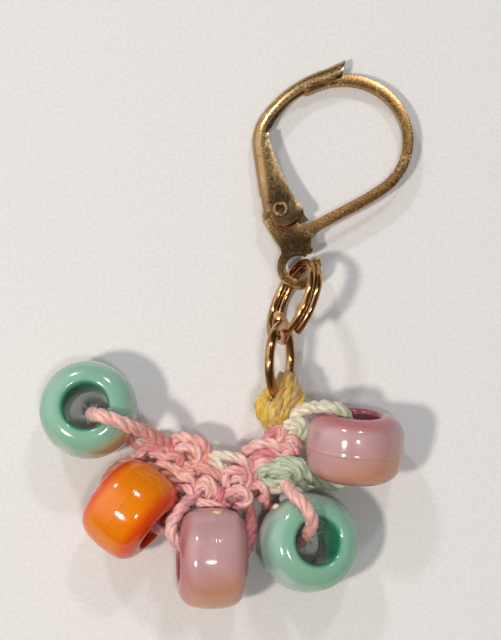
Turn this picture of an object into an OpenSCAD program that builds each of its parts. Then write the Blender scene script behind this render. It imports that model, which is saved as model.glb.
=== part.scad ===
// A stitch marker: a lever-back hook, a double-coil split ring and a jump ring carry a
// crocheted yarn band with five barrel-shaped pony beads. It lies as it was laid on a table,
// with +Z up and the hook at +Y. All sizes are in millimetres.

/* [Hook] */
// Width of the stamped flat wire
wire_w = 1; // [0.9:0.05:1.05]
// Thickness of the stamped brass blank
blank_t = 0.84; // [0.76:0.02:0.86]
// Radius of the hoop's round stretch, to the middle of the wire
hoop_r = 5.9; // [5.7:0.1:6]
// Length of the straight shank between base plate and hoop
shank_l = 5.7; // [5.5:0.1:5.8]
// Radius of the hole in the open eye
eye_hole_r = 1.22; // [1.21:0.01:1.26]
// Width of the eye's rim
eye_rim = 0.82; // [0.74:0.02:0.9]
// Tilt of the hook, which rests on its lever's tip and on the split ring
hook_tilt = 4.5; // [4.4:0.1:4.7]

/* [Lever] */
// Width of the folded channel over both cheeks
lever_w = 1.75; // [1.7:0.01:1.8]
// Thickness of the folded sheet
sheet_t = 0.33; // [0.3:0.01:0.34]
// Radius of the tubular rivet's shank
rivet_r = 0.55; // [0.5:0.01:0.6]
// Radius of the rivet's rolled rims
rivet_rim_r = 0.74; // [0.7:0.01:0.8]
// Running clearance between the rivet and the lever, on radius and on each face
running = 0.05; // [0.03:0.01:0.08]

/* [Rings] */
// Outer diameter of the split ring
split_od = 8.2; // [8:0.1:8.4]
// Diameter of the split ring's wire
split_wire = 0.7; // [0.6:0.02:0.7]
// Outer diameter of the jump ring
jump_od = 7.3; // [7.2:0.05:7.4]
// Diameter of the jump ring's wire
jump_wire = 0.88; // [0.8:0.02:0.9]

/* [Beads] */
// Outer diameter of the mint beads and of the lilac bead at the right
bead_od = 8.8; // [8.7:0.05:8.9]
// Length of a bead along its bore
bead_l = 6; // [5.8:0.1:6]
// Diameter of a bead's bore
bead_bore = 4; // [4:0.1:4.3]

/* [Yarn] */
// Diameter of the plied cotton yarn
yarn_d = 1.1; // [1:0.05:1.15]
// Height of the crocheted band
band_h = 4.2; // [3.8:0.1:4.4]

/* [Hidden] */

$fn = 64;

// The middle of the whole object's outline, on the table, which is the origin
middle = [0.357, 0.574, 0.04];

// The hook's own frame has its origin on the rivet and its plane in the middle of the blank.
rivet_at = [5.05, 11.55, 1.99];
plate_outline = [[-1.2, 0.5], [-1.72, -0.24], [-1.6, -0.95], [-0.95, -2.1], [0, -3.6],
                 [0.2, -5], [1.7, -4.4], [2.35, -4.2], [2.8, -3.6], [2.8, -2.6],
                 [3.4, -2.05], [3.1, -1.15], [2.3, -1.5], [1.75, -1.3], [1.2, -0.6], [0.9, 0.8]];
plate_end_r = 1.3;
nub_at = [2.62, -3.66];
nub_r = 0.34;
eye_at = [1.69, -5.34];
eye_gap = [28, 62];
shank_from = [2.05, -2.07, 28];
bend_step = 5;
shank_path = [[shank_l], [20.7, 8], [hoop_r, 144], [7.8, 30]];

// The lever's back is a path too, and its cheeks are cut to these outlines.
back_from = [-1.7, -0.3, 98];
back_path = [[6.4], [4.76, -43], [11.9, -42.5], [3, 14]];
cheek_inner = [[2.07, 0.1], [1.31, 1.17], [0.16, 3.29], [-0.69, 5.51], [-1.12, 7.4],
               [-0.75, 8.6], [0.3, 10.1], [1.31, 11.1], [2.9, 11.95], [5.4, 12.72]];
cheek_bottom = [[-0.95, -0.6], [-0.75, -1.1], [-0.35, -1.48], [0.3, -1.56], [1.11, -1.26]];
back_cut = [[-3, 0.5], [-1.85, 0.3], [-1.2, -0.45], [-0.6, -1.2], [9, -1.2], [9, 17], [-3, 17]];
back_points = 13;
back_depth = 1.1;
near_corner = [2.14, -0.47];
far_corner = [2.61, -0.63];
near_notch = [[-3, 7.4], [-0.9, 7.4], [0.5, 9.5], [1.32, 11.05], [0.6, 12.2], [-3, 12]];
web_slot = [[-4, -3], [-1, 1.45]];
web_slot_h = 0.5;

// Each ring lies in the plane of a flat direction and a raised one.
split_r = (split_od - split_wire) / 2;
split_pitch = split_wire + 0.04;
split_at = [6.24, 2.8, 4.02];
split_flat = 69;
split_tilt = 111;
split_jog = 153;
jog_half = 25;
end_gap = 3;
jump_r = (jump_od - jump_wire) / 2;
jump_at = [4.95, -2.62, 4.27];
jump_flat = 86;
jump_tilt = 72;
jump_start = -4;
jump_end = 366;
jump_spread = [0.88, -0.42];
spread_turn = 75;

// A bead's side is one shallow arc, met by a tighter arc at each end and a fillet into the bore.
barrel_r = 9;
corner_r = 1.8;
fn_arc = 8;
gate_r = 0.42;
gate_h = 0.1;

mint_left_at = [-12.4, -7.07, 4.14];
orange_at = [-8.52, -16, 4.5];
lilac_low_at = [-1.22, -20.35, 4.6];
mint_right_at = [7.4, -19, 4.15];
lilac_right_at = [11.62, -10.35, 4.8];
orange_od = 8.6;
lilac_low_od = 8.95;

// Routes of the yarn, as points that it passes
mint_left_route = [[-4.85, -10.2, 3.8], [-5.8, -9.8, 4.9], [-7, -9.2, 6.4], [-8.4, -8.75, 7.7],
                   [-9.75, -8.2, 8.2], [-11, -7.8, 8], [-11.75, -7.6, 6.6], [-12.1, -7.5, 4.3],
                   [-12.1, -7.5, 2.1], [-11.8, -7.8, 1.04], [-10.95, -8.29, 0.68],
                   [-9.78, -9.04, 0.64], [-8.68, -9.61, 0.87], [-7.5, -10.3, 1.6],
                   [-6.3, -10.8, 2.2]];
orange_route = [[-6.4, -10.9, 2.6], [-7.4, -11.3, 1.6], [-8.6, -11.8, 0.9], [-9.9, -12.5, 0.7],
                [-10.9, -13.1, 1.2], [-11.2, -13.6, 2.4], [-10.9, -14.1, 3.6],
                [-10.2, -14.8, 4.3], [-8.52, -16, 4.5], [-7.2, -17, 4.6], [-5.95, -17.75, 4.3],
                [-5.2, -17.85, 3.4], [-4.75, -17.5, 2.5], [-4.5, -17, 2], [-4.2, -16.4, 1.75],
                [-3.85, -15.7, 1.8], [-3.5, -14.9, 2.3]];
lilac_low_route = [[-2.9, -14.9, 4], [-3.8, -15.8, 5.2], [-4.62, -17, 5.9], [-4.82, -18, 6.02],
                   [-4.35, -18.9, 5.7], [-3.2, -19.7, 5.1], [-1.22, -20.35, 4.6],
                   [0.3, -20.4, 4.3], [1.6, -20.1, 4.2], [2.08, -19.19, 3.9],
                   [2.29, -18.09, 3.39], [2.3, -17, 3.1], [2.1, -15.9, 3.1], [1.5, -14.8, 2.9]];
mint_right_route = [[5, -12.9, 3.4], [5.48, -13.85, 5.02], [6.08, -14.73, 6.85],
                    [6.79, -15.46, 7.94], [7.4, -16.4, 8.2], [7.67, -17.23, 7.71],
                    [7.42, -17.93, 6.51], [7.1, -18.4, 5], [6.8, -18.9, 3.4], [6.4, -19, 2],
                    [5.8, -18.5, 1], [5, -17.5, 0.65], [4.2, -16.4, 0.7], [3.7, -15.2, 1.2],
                    [3.4, -14, 2]];
lilac_right_route = [[5.2, -7.9, 4], [6.2, -7.4, 4.6], [7.2, -7, 5.2], [8.07, -6.86, 5.93],
                     [8.98, -6.93, 6.69], [10.13, -7.15, 6.81], [10.85, -7.92, 6.19],
                     [11.1, -9, 5.5], [11.62, -10.35, 4.8], [11.5, -12.2, 4.1], [11.1, -13, 3.5],
                     [10.4, -13.6, 2.8], [9.4, -13.8, 2.4], [8.4, -13.5, 2.5], [7.5, -13.1, 2.8],
                     [6.8, -12.7, 2.9]];
band_left_route = [[-7.6, -10.3, 2.2], [-6.4, -10.7, 2.2], [-5, -11.5, 2.2], [-3.5, -12.4, 2.2],
                   [-2.3, -13.1, 2.2]];
band_left_widths = [2.2, 3, 3.6, 4.4, 5.3];
band_middle_route = [[-2.3, -13.1, 2.2], [-1.2, -13.6, 2.2], [0.2, -13.7, 2.2], [1.4, -13.2, 2.2]];
band_middle_widths = [5.3, 4.8, 4.5, 4.3];
band_right_route = [[1.4, -13.2, 2.2], [2.6, -12.6, 2.2], [3.6, -11.8, 2.3], [4.3, -10.9, 2.5]];
band_right_widths = [4.3, 4, 3.9, 3.6];
neck_route = [[4.3, -10.9, 2.5], [4.8, -9.9, 2.8], [5, -9, 3.1], [5, -8.1, 3.3]];
neck_widths = [3.4, 3.1, 3.1, 3.2];
mint_route = [[3.6, -13.1, 3.4], [4.6, -12.9, 3.6], [5.8, -12.6, 3.6], [6.8, -12.5, 3.3]];
mint_widths = [2.2, 3, 2.8, 2];
mint_h = 2.4;
knot_route = [[4.8, -4.1, 4], [4.5, -5.2, 3.9], [4.8, -6.3, 3.7], [5, -7.3, 3.4],
              [5, -8.3, 3.3]];
knot_widths = [2.4, 3.6, 4, 3.8, 3];
knot_seat = 0.12;
stitch_depth = 0.16;
stitch_points = 4;
thin_over = 0.4;
orange_loop_d = 1;

function unit(v) = v / norm(v);

function arc(centre, r, from, to, n) =
    [for (i = [0:n]) let (a = from + (to - from) * i / n) centre + r * [cos(a), sin(a)]];

// A smooth curve through the points, with n steps between each pair
function spline(p, n) =
    [for (i = [0:len(p) - 2], k = [0:n - 1 + (i == len(p) - 2 ? 1 : 0)])
        let (t = k / n, a = p[max(i - 1, 0)], b = p[i], c = p[i + 1],
             d = p[min(i + 2, len(p) - 1)])
        b + t / 2 * ((c - a) + t * ((2 * a - 5 * b + 4 * c - d) + t * (3 * (b - c) + d - a)))];

function tangent(p, i) = unit(p[min(i + 1, len(p) - 1)] - p[max(i - 1, 0)]);

// One direction across the curve at each point, carried along without twist
function across(p, first) =
    [for (i = 0, n = unit(first - (first * tangent(p, 0)) * tangent(p, 0));
          i < len(p);
          i = i + 1,
          n = let (t = tangent(p, min(i, len(p) - 1))) unit(n - (n * t) * t)) n];

function tube_points(p, r, sides, first) =
    let (n = across(p, first))
    [for (i = [0:len(p) - 1], k = [0:sides - 1])
        let (a = 360 * k / sides)
        p[i] + r[i][0] * cos(a) * n[i] + r[i][1] * sin(a) * cross(tangent(p, i), n[i])];

function tube_faces(rings, sides) = concat(
    [[for (k = [0:sides - 1]) k]],
    [[for (k = [0:sides - 1]) (rings - 1) * sides + sides - 1 - k]],
    [for (i = [0:rings - 2], k = [0:sides - 1], h = [0, 1])
        let (a = i * sides + k, b = i * sides + (k + 1) % sides)
        h == 0 ? [a, a + sides, b] : [b, a + sides, b + sides]]);

// A closed tube along a curve, whose half sizes across and up are given for each point
module tube(p, r, sides, first = [0, 0, 1]) {
    polyhedron(tube_points(p, r, sides, first), tube_faces(len(p), sides));
}

module placed() {
    translate(-middle) children();
}

module in_hook() {
    translate(rivet_at) rotate([-hook_tilt, 0, 0]) children();
}

// A path is runs, straight [length] or round [radius, angle], where a left turn is positive.
// A pose on it is [x, y, heading].
function run_pose(run, from, share) =
    len(run) == 1
    ? [from[0] + share * run[0] * cos(from[2]), from[1] + share * run[0] * sin(from[2]), from[2]]
    : let (side = sign(run[1]), h = from[2] + share * run[1])
      [from[0] + side * run[0] * (sin(h) - sin(from[2])),
       from[1] - side * run[0] * (cos(h) - cos(from[2])), h];

function poses(path, from, i = 0) =
    i == len(path) ? [from]
    : let (n = len(path[i]) == 1 ? 1 : ceil(abs(path[i][1]) / bend_step))
      concat([for (k = [0:n - 1]) run_pose(path[i], from, k / n)],
             poses(path, run_pose(path[i], from, 1), i + 1));

// The line that runs beside a path, to its left by d
function beside(path_poses, d) =
    [for (s = path_poses) [s[0] - d * sin(s[2]), s[1] + d * cos(s[2])]];

function reversed(p) = [for (i = [len(p) - 1:-1:0]) p[i]];

module blank() {
    translate([0, 0, -blank_t / 2]) linear_extrude(blank_t) children();
}

module hook_frame() {
    wire = poses(shank_path, shank_from);
    color("#8a6a3a") placed() in_hook() difference() {
        union() {
            blank() polygon(concat(beside(wire, wire_w / 2), reversed(beside(wire, -wire_w / 2))));
            blank() polygon(plate_outline);
            blank() circle(r = plate_end_r);
            blank() translate(nub_at) circle(r = nub_r);
            blank() translate(eye_at) difference() {
                circle(r = eye_hole_r + eye_rim);
                polygon(concat([[0, 0]], arc([0, 0], 3 * eye_rim + eye_hole_r, eye_gap[0],
                                             eye_gap[1], 4)));
            }
        }
        translate([eye_at[0], eye_at[1], -blank_t]) cylinder(r = eye_hole_r, h = 2 * blank_t);
        translate([0, 0, -blank_t]) cylinder(r = rivet_r, h = 2 * blank_t);
    }
}

// The channel's section where it is bent: a half-round back and the start of both cheeks.
// Its points go round the outside and come back along the inside.
function back_section() =
    let (r = lever_w / 2)
    [for (side = [0, 1], i = [0:back_points - 1])
        let (k = side == 0 ? i : back_points - 1 - i,
             a = 180 * (k - 1) / (back_points - 3) - 90,
             q = r - side * sheet_t)
        k == 0 ? [-back_depth, -q] : k == back_points - 1 ? [-back_depth, q]
        : [q * cos(a) - r, q * sin(a)]];

module back_shell() {
    line = poses(back_path, back_from);
    section = back_section();
    around = len(section);
    polyhedron(
        [for (s = line, q = section)
            [s[0] - q[0] * sin(s[2]), s[1] + q[0] * cos(s[2]), q[1]]],
        concat([for (i = [0:back_points - 2], h = [0, 1]) let (k = around - 1 - i)
                   h == 0 ? [i, i + 1, k] : [i + 1, k - 1, k]],
               [for (i = [0:back_points - 2], h = [0, 1])
                   let (o = (len(line) - 1) * around, k = o + around - 1 - i)
                   h == 0 ? [o + i + 1, o + i, k] : [k - 1, o + i + 1, k]],
               [for (j = [0:len(line) - 2], k = [0:around - 1], h = [0, 1])
                   let (p = j * around + k, q = j * around + (k + 1) % around)
                   h == 0 ? [p, p + around, q] : [q, p + around, q + around]]));
}

// A flat cheek, whose outer edge runs where the bend of the back starts
module cheek(corner) {
    line = poses(back_path, back_from);
    outer = [for (q = beside(line, -lever_w / 2)) if (q[1] > cheek_bottom[0][1]) q];
    polygon(concat(cheek_bottom, [corner], spline(cheek_inner, 5), reversed(outer)));
}

module lever() {
    r = lever_w / 2;
    slot = [web_slot[1][0] - web_slot[0][0], web_slot[1][1] - web_slot[0][1], 2 * web_slot_h];
    color("#a08050") placed() in_hook() difference() {
        union() {
            intersection() {
                back_shell();
                translate([0, 0, -r - 1]) linear_extrude(lever_w + 2) polygon(back_cut);
            }
            translate([0, 0, -r]) linear_extrude(sheet_t) cheek(far_corner);
            translate([0, 0, r - sheet_t]) linear_extrude(sheet_t) difference() {
                cheek(near_corner);
                polygon(near_notch);
            }
        }
        translate([web_slot[0][0], web_slot[0][1], -web_slot_h]) cube(slot);
        translate([0, 0, -lever_w]) cylinder(r = rivet_r + running, h = 2 * lever_w);
    }
}

// A tube through cheeks and blank, with a rolled rim over each cheek
module pivot_rivet() {
    seat = lever_w / 2 + running;
    rim = 0.16;
    wall = 0.16;
    half = [[rivet_r - wall, 0], [rivet_r, 0], [rivet_r, seat], [rivet_rim_r, seat],
            [rivet_rim_r, seat + rim / 2], [rivet_rim_r - rim / 2, seat + rim],
            [rivet_r - wall + rim / 2, seat + rim], [rivet_r - wall, seat + rim / 2]];
    color("#b09060") placed() in_hook() {
        rotate_extrude() polygon(half);
        mirror([0, 0, 1]) rotate_extrude() polygon(half);
    }
}

module ring_pose(at, flat, tilt) {
    translate(at) rotate([0, 0, flat]) rotate([tilt, 0, 0]) children();
}

// Two turns side by side, joined by a jog where both cut ends lie
function split_offset(a) =
    let (t = (a - split_jog - 360) / jog_half)
    split_pitch / 2 * (t < -1 ? -1 : t > 1 ? 1 : t * (3 - t * t) / 2);

split_steps = 110;
split_path = [for (i = [0:split_steps])
    let (from = split_jog + jog_half + end_gap,
         a = from + (720 - 2 * (jog_half + end_gap)) * i / split_steps)
    [split_r * cos(a), split_r * sin(a), split_offset(a)]];

module split_ring() {
    color("#a86a30") placed() ring_pose(split_at, split_flat, split_tilt)
        tube(split_path, [for (p = split_path) [split_wire, split_wire] / 2], 10);
}

// The last stretch before the cut stands out and aside, so the two ends pass each other.
jump_steps = 60;
jump_path = [for (i = [0:jump_steps])
    let (a = jump_start + (jump_end - jump_start) * i / jump_steps,
         s = max(0, (a - jump_end + spread_turn) / spread_turn),
         d = s * s * (3 - 2 * s) * jump_spread,
         r = jump_r + d[0])
    [r * cos(a), r * sin(a), d[1]]];

module jump_ring() {
    color("#b87838") placed() ring_pose(jump_at, jump_flat, jump_tilt)
        tube(jump_path, [for (p = jump_path) [jump_wire, jump_wire] / 2], 12);
}

function bead_profile(od, l, bore) =
    let (h = l / 2,
         b = asin((h - corner_r) / (barrel_r - corner_r)),
         crest = od / 2 - barrel_r + (barrel_r - corner_r) * cos(b),
         f = crest - bore / 2)
    concat(arc([crest, h - f], f, 180, 90, fn_arc),
           arc([crest, h - corner_r], corner_r, 90, b, fn_arc),
           arc([od / 2 - barrel_r, 0], barrel_r, b, -b, fn_arc),
           arc([crest, corner_r - h], corner_r, -b, -90, fn_arc),
           arc([crest, f - h], f, -90, -180, fn_arc));

module bead(at, turn, od = bead_od, gate = 0) {
    placed() translate(at) rotate(turn) {
        rotate_extrude() polygon(bead_profile(od, bead_l, bead_bore));
        if (gate > 0)
            rotate([0, 0, gate]) rotate([0, 90, 0]) translate([0, 0, od / 2 - gate_r])
                cylinder(r = gate_r, h = gate_r + gate_h);
    }
}

module bead_mint_left() {
    color("#7fb8a0") bead(mint_left_at, [-3.5, -1, 0]);
}

module bead_orange() {
    color("#e08a10") bead(orange_at, [0, 82, -39], orange_od);
}

module bead_lilac_low() {
    color("#b89098") bead(lilac_low_at, [0, 97, 0], lilac_low_od, 100);
}

module bead_mint_right() {
    color("#6fae98") bead(mint_right_at, [0, 17, 8], bead_od, 125);
}

module bead_lilac_right() {
    color("#b88a90") bead(lilac_right_at, [-73, 0, -4]);
}

// Yarn that is worked into stitches swells at each of them. Where the band is narrow it is a
// little higher than wide.
module stitched(route, widths, height = band_h) {
    p = spline(route, stitch_points);
    w = spline([for (v = widths) [v, 0]], stitch_points);
    tube(p, [for (i = [0:len(p) - 1])
                 let (s = 1 - stitch_depth * pow(cos(180 * i / stitch_points), 2))
                 [min(height, w[i][0] + thin_over) / 2 * s, w[i][0] / 2 * s]], 12);
}

module strand(route, d = yarn_d) {
    p = spline(route, 3);
    tube(p, [for (v = p) [d, d] / 2], 8);
}

module knot_tube() {
    stitched(knot_route, knot_widths);
}

module neck_tube() {
    stitched(neck_route, neck_widths);
}

module right_tube() {
    stitched(band_right_route, band_right_widths);
}

module middle_tube() {
    stitched(band_middle_route, band_middle_widths);
}

module left_tube() {
    stitched(band_left_route, band_left_widths);
}

module mint_tube() {
    stitched(mint_route, mint_widths, mint_h);
}

module yarn_knot() {
    color("#d9b04a") placed() difference() {
        knot_tube();
        ring_pose(jump_at, jump_flat, jump_tilt)
            rotate_extrude() translate([jump_r, 0]) circle(r = jump_wire / 2 + knot_seat);
    }
}

module yarn_neck() {
    color("#e8bdb8") placed() difference() {
        neck_tube();
        knot_tube();
        mint_tube();
    }
}

module band_right() {
    color("#e0a0a8") placed() difference() {
        right_tube();
        neck_tube();
        mint_tube();
    }
}

module band_middle() {
    color("#d9919a") placed() difference() {
        middle_tube();
        right_tube();
        mint_tube();
    }
}

module band_left() {
    color("#e0a098") placed() difference() {
        left_tube();
        middle_tube();
    }
}

module mint_stitches() {
    color("#b8c4a0") placed() mint_tube();
}

module loop_mint_left() {
    color("#e0a0a0") placed() difference() {
        strand(mint_left_route);
        left_tube();
    }
}

module loop_orange() {
    color("#e0a0a0") placed() difference() {
        strand(orange_route, orange_loop_d);
        left_tube();
        middle_tube();
        strand(mint_left_route);
    }
}

module loop_lilac_low() {
    color("#d9919a") placed() difference() {
        strand(lilac_low_route);
        left_tube();
        middle_tube();
        right_tube();
        strand(orange_route, orange_loop_d);
    }
}

module loop_mint_right() {
    color("#e8bdb8") placed() difference() {
        strand(mint_right_route);
        right_tube();
        mint_tube();
    }
}

module loop_lilac_right() {
    color("#ebd2be") placed() difference() {
        strand(lilac_right_route);
        knot_tube();
        neck_tube();
        right_tube();
        mint_tube();
        strand(mint_right_route);
    }
}

hook_frame();
lever();
pivot_rivet();
split_ring();
jump_ring();
bead_mint_left();
bead_orange();
bead_lilac_low();
bead_mint_right();
bead_lilac_right();
yarn_knot();
yarn_neck();
band_right();
band_middle();
band_left();
mint_stitches();
loop_mint_left();
loop_orange();
loop_lilac_low();
loop_mint_right();
loop_lilac_right();
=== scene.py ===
import logging
import math
import random
from dataclasses import dataclass, replace
from enum import Enum
from typing import Iterable, Sequence

import bmesh
import bpy
from mathutils import Matrix, Vector


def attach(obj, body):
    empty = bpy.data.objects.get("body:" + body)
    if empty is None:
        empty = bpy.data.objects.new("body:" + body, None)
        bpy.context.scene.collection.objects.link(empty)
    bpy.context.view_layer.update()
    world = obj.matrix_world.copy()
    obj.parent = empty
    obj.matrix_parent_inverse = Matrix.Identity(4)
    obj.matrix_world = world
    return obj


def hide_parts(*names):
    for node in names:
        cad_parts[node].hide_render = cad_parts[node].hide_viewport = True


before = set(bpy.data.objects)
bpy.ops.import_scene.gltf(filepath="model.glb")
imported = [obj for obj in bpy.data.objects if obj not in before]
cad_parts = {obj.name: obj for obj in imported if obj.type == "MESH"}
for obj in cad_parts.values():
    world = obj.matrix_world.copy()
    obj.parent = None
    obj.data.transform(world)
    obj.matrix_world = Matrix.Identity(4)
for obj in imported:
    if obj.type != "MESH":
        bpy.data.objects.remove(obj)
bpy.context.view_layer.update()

LOG = logging.getLogger("stitch_marker")
MM = 0.001
# Routes and places are written in the part's own drawing, whose middle lies here
MIDDLE = Vector((0.357, 0.574, 0.04)) * MM

# Straight parts between two points of a route, before it is divided evenly
CURVE_PARTS = 12
# Distance between the frames along a stretch of the band
SPINE_STEP_MM = 0.1
# A loose fibre that comes nearer to the floor than this is left out
FLOOR_GAP_MM = 0.05
# Faces that turn less than this are one flat face
FLAT_DEGREES = 1.0
# Doubles nearer than this, in metres, are merged: in a CAD copy, and where a spin closes
TOUCHING = 2e-6
SPIN_TOUCHING = 1e-7
FULL_TURN = 360

Point = tuple[float, float, float]


# Small helpers

def hex_colour(text: str, alpha: float = 1.0) -> tuple[float, float, float, float]:
    """Turns an sRGB hex colour into linear values.

    Args:
        text: The colour as "#rrggbb".
        alpha: The fourth value.

    Returns:
        Linear red, green, blue and alpha.
    """
    parts = [int(text[i:i + 2], 16) / 255 for i in (1, 3, 5)]
    red, green, blue = (p / 12.92 if p <= 0.04045 else ((p + 0.055) / 1.055) ** 2.4 for p in parts)
    return (red, green, blue, alpha)


def mm(point: Sequence[float]) -> Vector:
    """A point given in millimetres, in metres."""
    return Vector(point) * MM


def cells(size_mm: float) -> float:
    """The scale at which the cells of a noise pattern measure size_mm."""
    return 1 / (size_mm * MM)


def mixed(a: Sequence[float], b: Sequence[float], share: float) -> tuple[float, ...]:
    """Each value of a and b blended, with share of b."""
    return tuple(p + (q - p) * share for p, q in zip(a, b))


def smooth_route(points: Sequence[Vector], step: float) -> list[Vector]:
    """Runs a smooth line through points and divides it evenly.

    The line is a Catmull-Rom curve, which passes every point.

    Args:
        points: The points that the line passes.
        step: The wanted distance between the returned points, in metres.

    Returns:
        Evenly spaced points along the line.
    """
    dense: list[Vector] = []
    for i in range(len(points) - 1):
        a, b, c, d = (points[max(i - 1, 0)], points[i], points[i + 1],
                      points[min(i + 2, len(points) - 1)])
        for k in range(CURVE_PARTS):
            t = k / CURVE_PARTS
            dense.append(b + t / 2 * ((c - a) + t * ((2 * a - 5 * b + 4 * c - d)
                                                     + t * (3 * (b - c) + d - a))))
    dense.append(points[-1].copy())
    lengths = [0.0]
    for p, q in zip(dense, dense[1:]):
        lengths.append(lengths[-1] + (q - p).length)
    count = max(2, round(lengths[-1] / step))
    out, j = [], 0
    for i in range(count + 1):
        want = lengths[-1] * i / count
        while j < len(dense) - 2 and lengths[j + 1] < want:
            j += 1
        span = lengths[j + 1] - lengths[j]
        out.append(dense[j].lerp(dense[j + 1], min(1.0, (want - lengths[j]) / max(span, 1e-12))))
    return out


def carried_frames(path: Sequence[Vector], first: Vector | None = None) -> list[Matrix]:
    """Gives each point of a path a frame that is carried along without twist.

    Args:
        path: The points of the path.
        first: A direction across the start, or None for any.

    Returns:
        One matrix for each point, whose Z runs along the path.
    """
    frames = []
    tangent = (path[1] - path[0]).normalized()
    side = first if first is not None else tangent.orthogonal()
    side = (side - side.dot(tangent) * tangent).normalized()
    for i, point in enumerate(path):
        ahead = (path[min(i + 1, len(path) - 1)] - path[max(i - 1, 0)]).normalized()
        side = (side - side.dot(ahead) * ahead).normalized()
        frames.append(Matrix.Translation(point)
                      @ Matrix((side, ahead.cross(side), ahead)).transposed().to_4x4())
    return frames


def sweep(frames: Sequence[Matrix], sizes: Sequence[tuple[float, float]], sides: int,
          capped: bool = True) -> bmesh.types.BMesh:
    """Extrudes a ring from frame to frame into a tube with a UV map along and around it.

    Args:
        frames: The frame of each ring.
        sizes: Half sizes of each ring along its frame's X and Y.
        sides: The number of points in a ring.
        capped: Whether the two ends are closed.

    Returns:
        The tube as a bmesh.
    """
    bm = bmesh.new()
    turn = bm.verts.layers.int.new("turn")
    along = bm.verts.layers.float.new("along")
    row = bm.verts.layers.int.new("ring")
    ring = bmesh.ops.create_circle(bm, segments=sides, radius=1.0, cap_ends=False)["verts"]
    for k, vert in enumerate(ring):
        vert[turn] = k
    edges = list(bm.edges)
    placed = [f @ Matrix.Diagonal((s[0], s[1], 1.0, 1.0)) for f, s in zip(frames, sizes)]
    bmesh.ops.transform(bm, matrix=placed[0], verts=ring)
    distance = 0.0
    for number, (before, after) in enumerate(zip(placed, placed[1:]), 1):
        new = bmesh.ops.extrude_edge_only(bm, edges=edges)["geom"]
        ring = [g for g in new if isinstance(g, bmesh.types.BMVert)]
        edges = [g for g in new if isinstance(g, bmesh.types.BMEdge)
                 and all(v in ring for v in g.verts)]
        bmesh.ops.transform(bm, matrix=after @ before.inverted(), verts=ring)
        distance += (after.translation - before.translation).length
        for vert in ring:
            vert[along], vert[row] = distance, number
    if capped:
        bmesh.ops.holes_fill(bm, edges=[e for e in bm.edges if e.is_boundary], sides=0)
    uv = bm.loops.layers.uv.new("UVMap")
    for face in bm.faces:
        wraps = {v[turn] for v in face.verts} == {0, sides - 1}
        for loop in face.loops:
            k = loop.vert[turn]
            k = sides if wraps and k == 0 else k
            loop[uv].uv = (loop.vert[along] / MM, k / sides)
    bmesh.ops.recalc_face_normals(bm, faces=bm.faces)
    return bm


def finish_piece(name: str, meshes: Iterable[bmesh.types.BMesh], material: bpy.types.Material,
                 sharp: float = 40.0) -> bpy.types.Object:
    """Joins bmeshes into one object at the origin, with smooth faces and a material.

    Args:
        name: The object's name.
        meshes: The bmeshes, which are freed.
        material: The finish.
        sharp: Edges that turn more than this angle, in degrees, stay sharp.

    Returns:
        The new object.
    """
    whole = bpy.data.meshes.new(name)
    joined = bmesh.new()
    for bm in meshes:
        part = bpy.data.meshes.new("part")
        bm.to_mesh(part)
        bm.free()
        joined.from_mesh(part)
        bpy.data.meshes.remove(part)
    for face in joined.faces:
        face.smooth = True
    for edge in joined.edges:
        edge.smooth = not (len(edge.link_faces) == 2
                           and edge.calc_face_angle(0) > math.radians(sharp))
    joined.to_mesh(whole)
    joined.free()
    whole.materials.append(material)
    obj = bpy.data.objects.new(name, whole)
    bpy.context.scene.collection.objects.link(obj)
    LOG.info("%s: %d faces", name, len(whole.polygons))
    return obj


# The finishes

def add_node(tree: bpy.types.NodeTree, kind: str, links: dict | None = None,
             **settings: object) -> bpy.types.Node:
    """Adds one node with its settings and its incoming links.

    Args:
        tree: The material's node tree.
        kind: The node's type name.
        links: Input name or number to an output socket or a plain value.
        **settings: Properties of the node.

    Returns:
        The node.
    """
    node = tree.nodes.new(kind)
    for key, value in settings.items():
        setattr(node, key, value)
    for key, value in (links or {}).items():
        if isinstance(value, bpy.types.NodeSocket):
            tree.links.new(value, node.inputs[key])
        else:
            node.inputs[key].default_value = value
    return node


def start_material(name: str) -> tuple[bpy.types.Material, bpy.types.NodeTree, bpy.types.Node]:
    """An empty material with a Principled shader.

    Args:
        name: The material's name.

    Returns:
        The material, its tree and its shader node.
    """
    material = bpy.data.materials.new(name)
    material.use_nodes = True
    tree = material.node_tree
    tree.nodes.clear()
    shader = add_node(tree, "ShaderNodeBsdfPrincipled")
    add_node(tree, "ShaderNodeOutputMaterial", {"Surface": shader.outputs[0]})
    return material, tree, shader


def ramp(tree: bpy.types.NodeTree, factor: bpy.types.NodeSocket,
         stops: Sequence[tuple[float, str]]) -> bpy.types.NodeSocket:
    """A colour ramp between hex colours.

    Args:
        tree: The material's node tree.
        factor: What drives the ramp.
        stops: Places from 0 to 1, each with its colour.

    Returns:
        The ramp's colour.
    """
    node = add_node(tree, "ShaderNodeValToRGB", {"Fac": factor})
    elements = node.color_ramp.elements
    while len(elements) < len(stops):
        elements.new(0.5)
    for element, (place, colour) in zip(elements, stops):
        element.position = place
        element.color = hex_colour(colour)
    return node.outputs["Color"]


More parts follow.
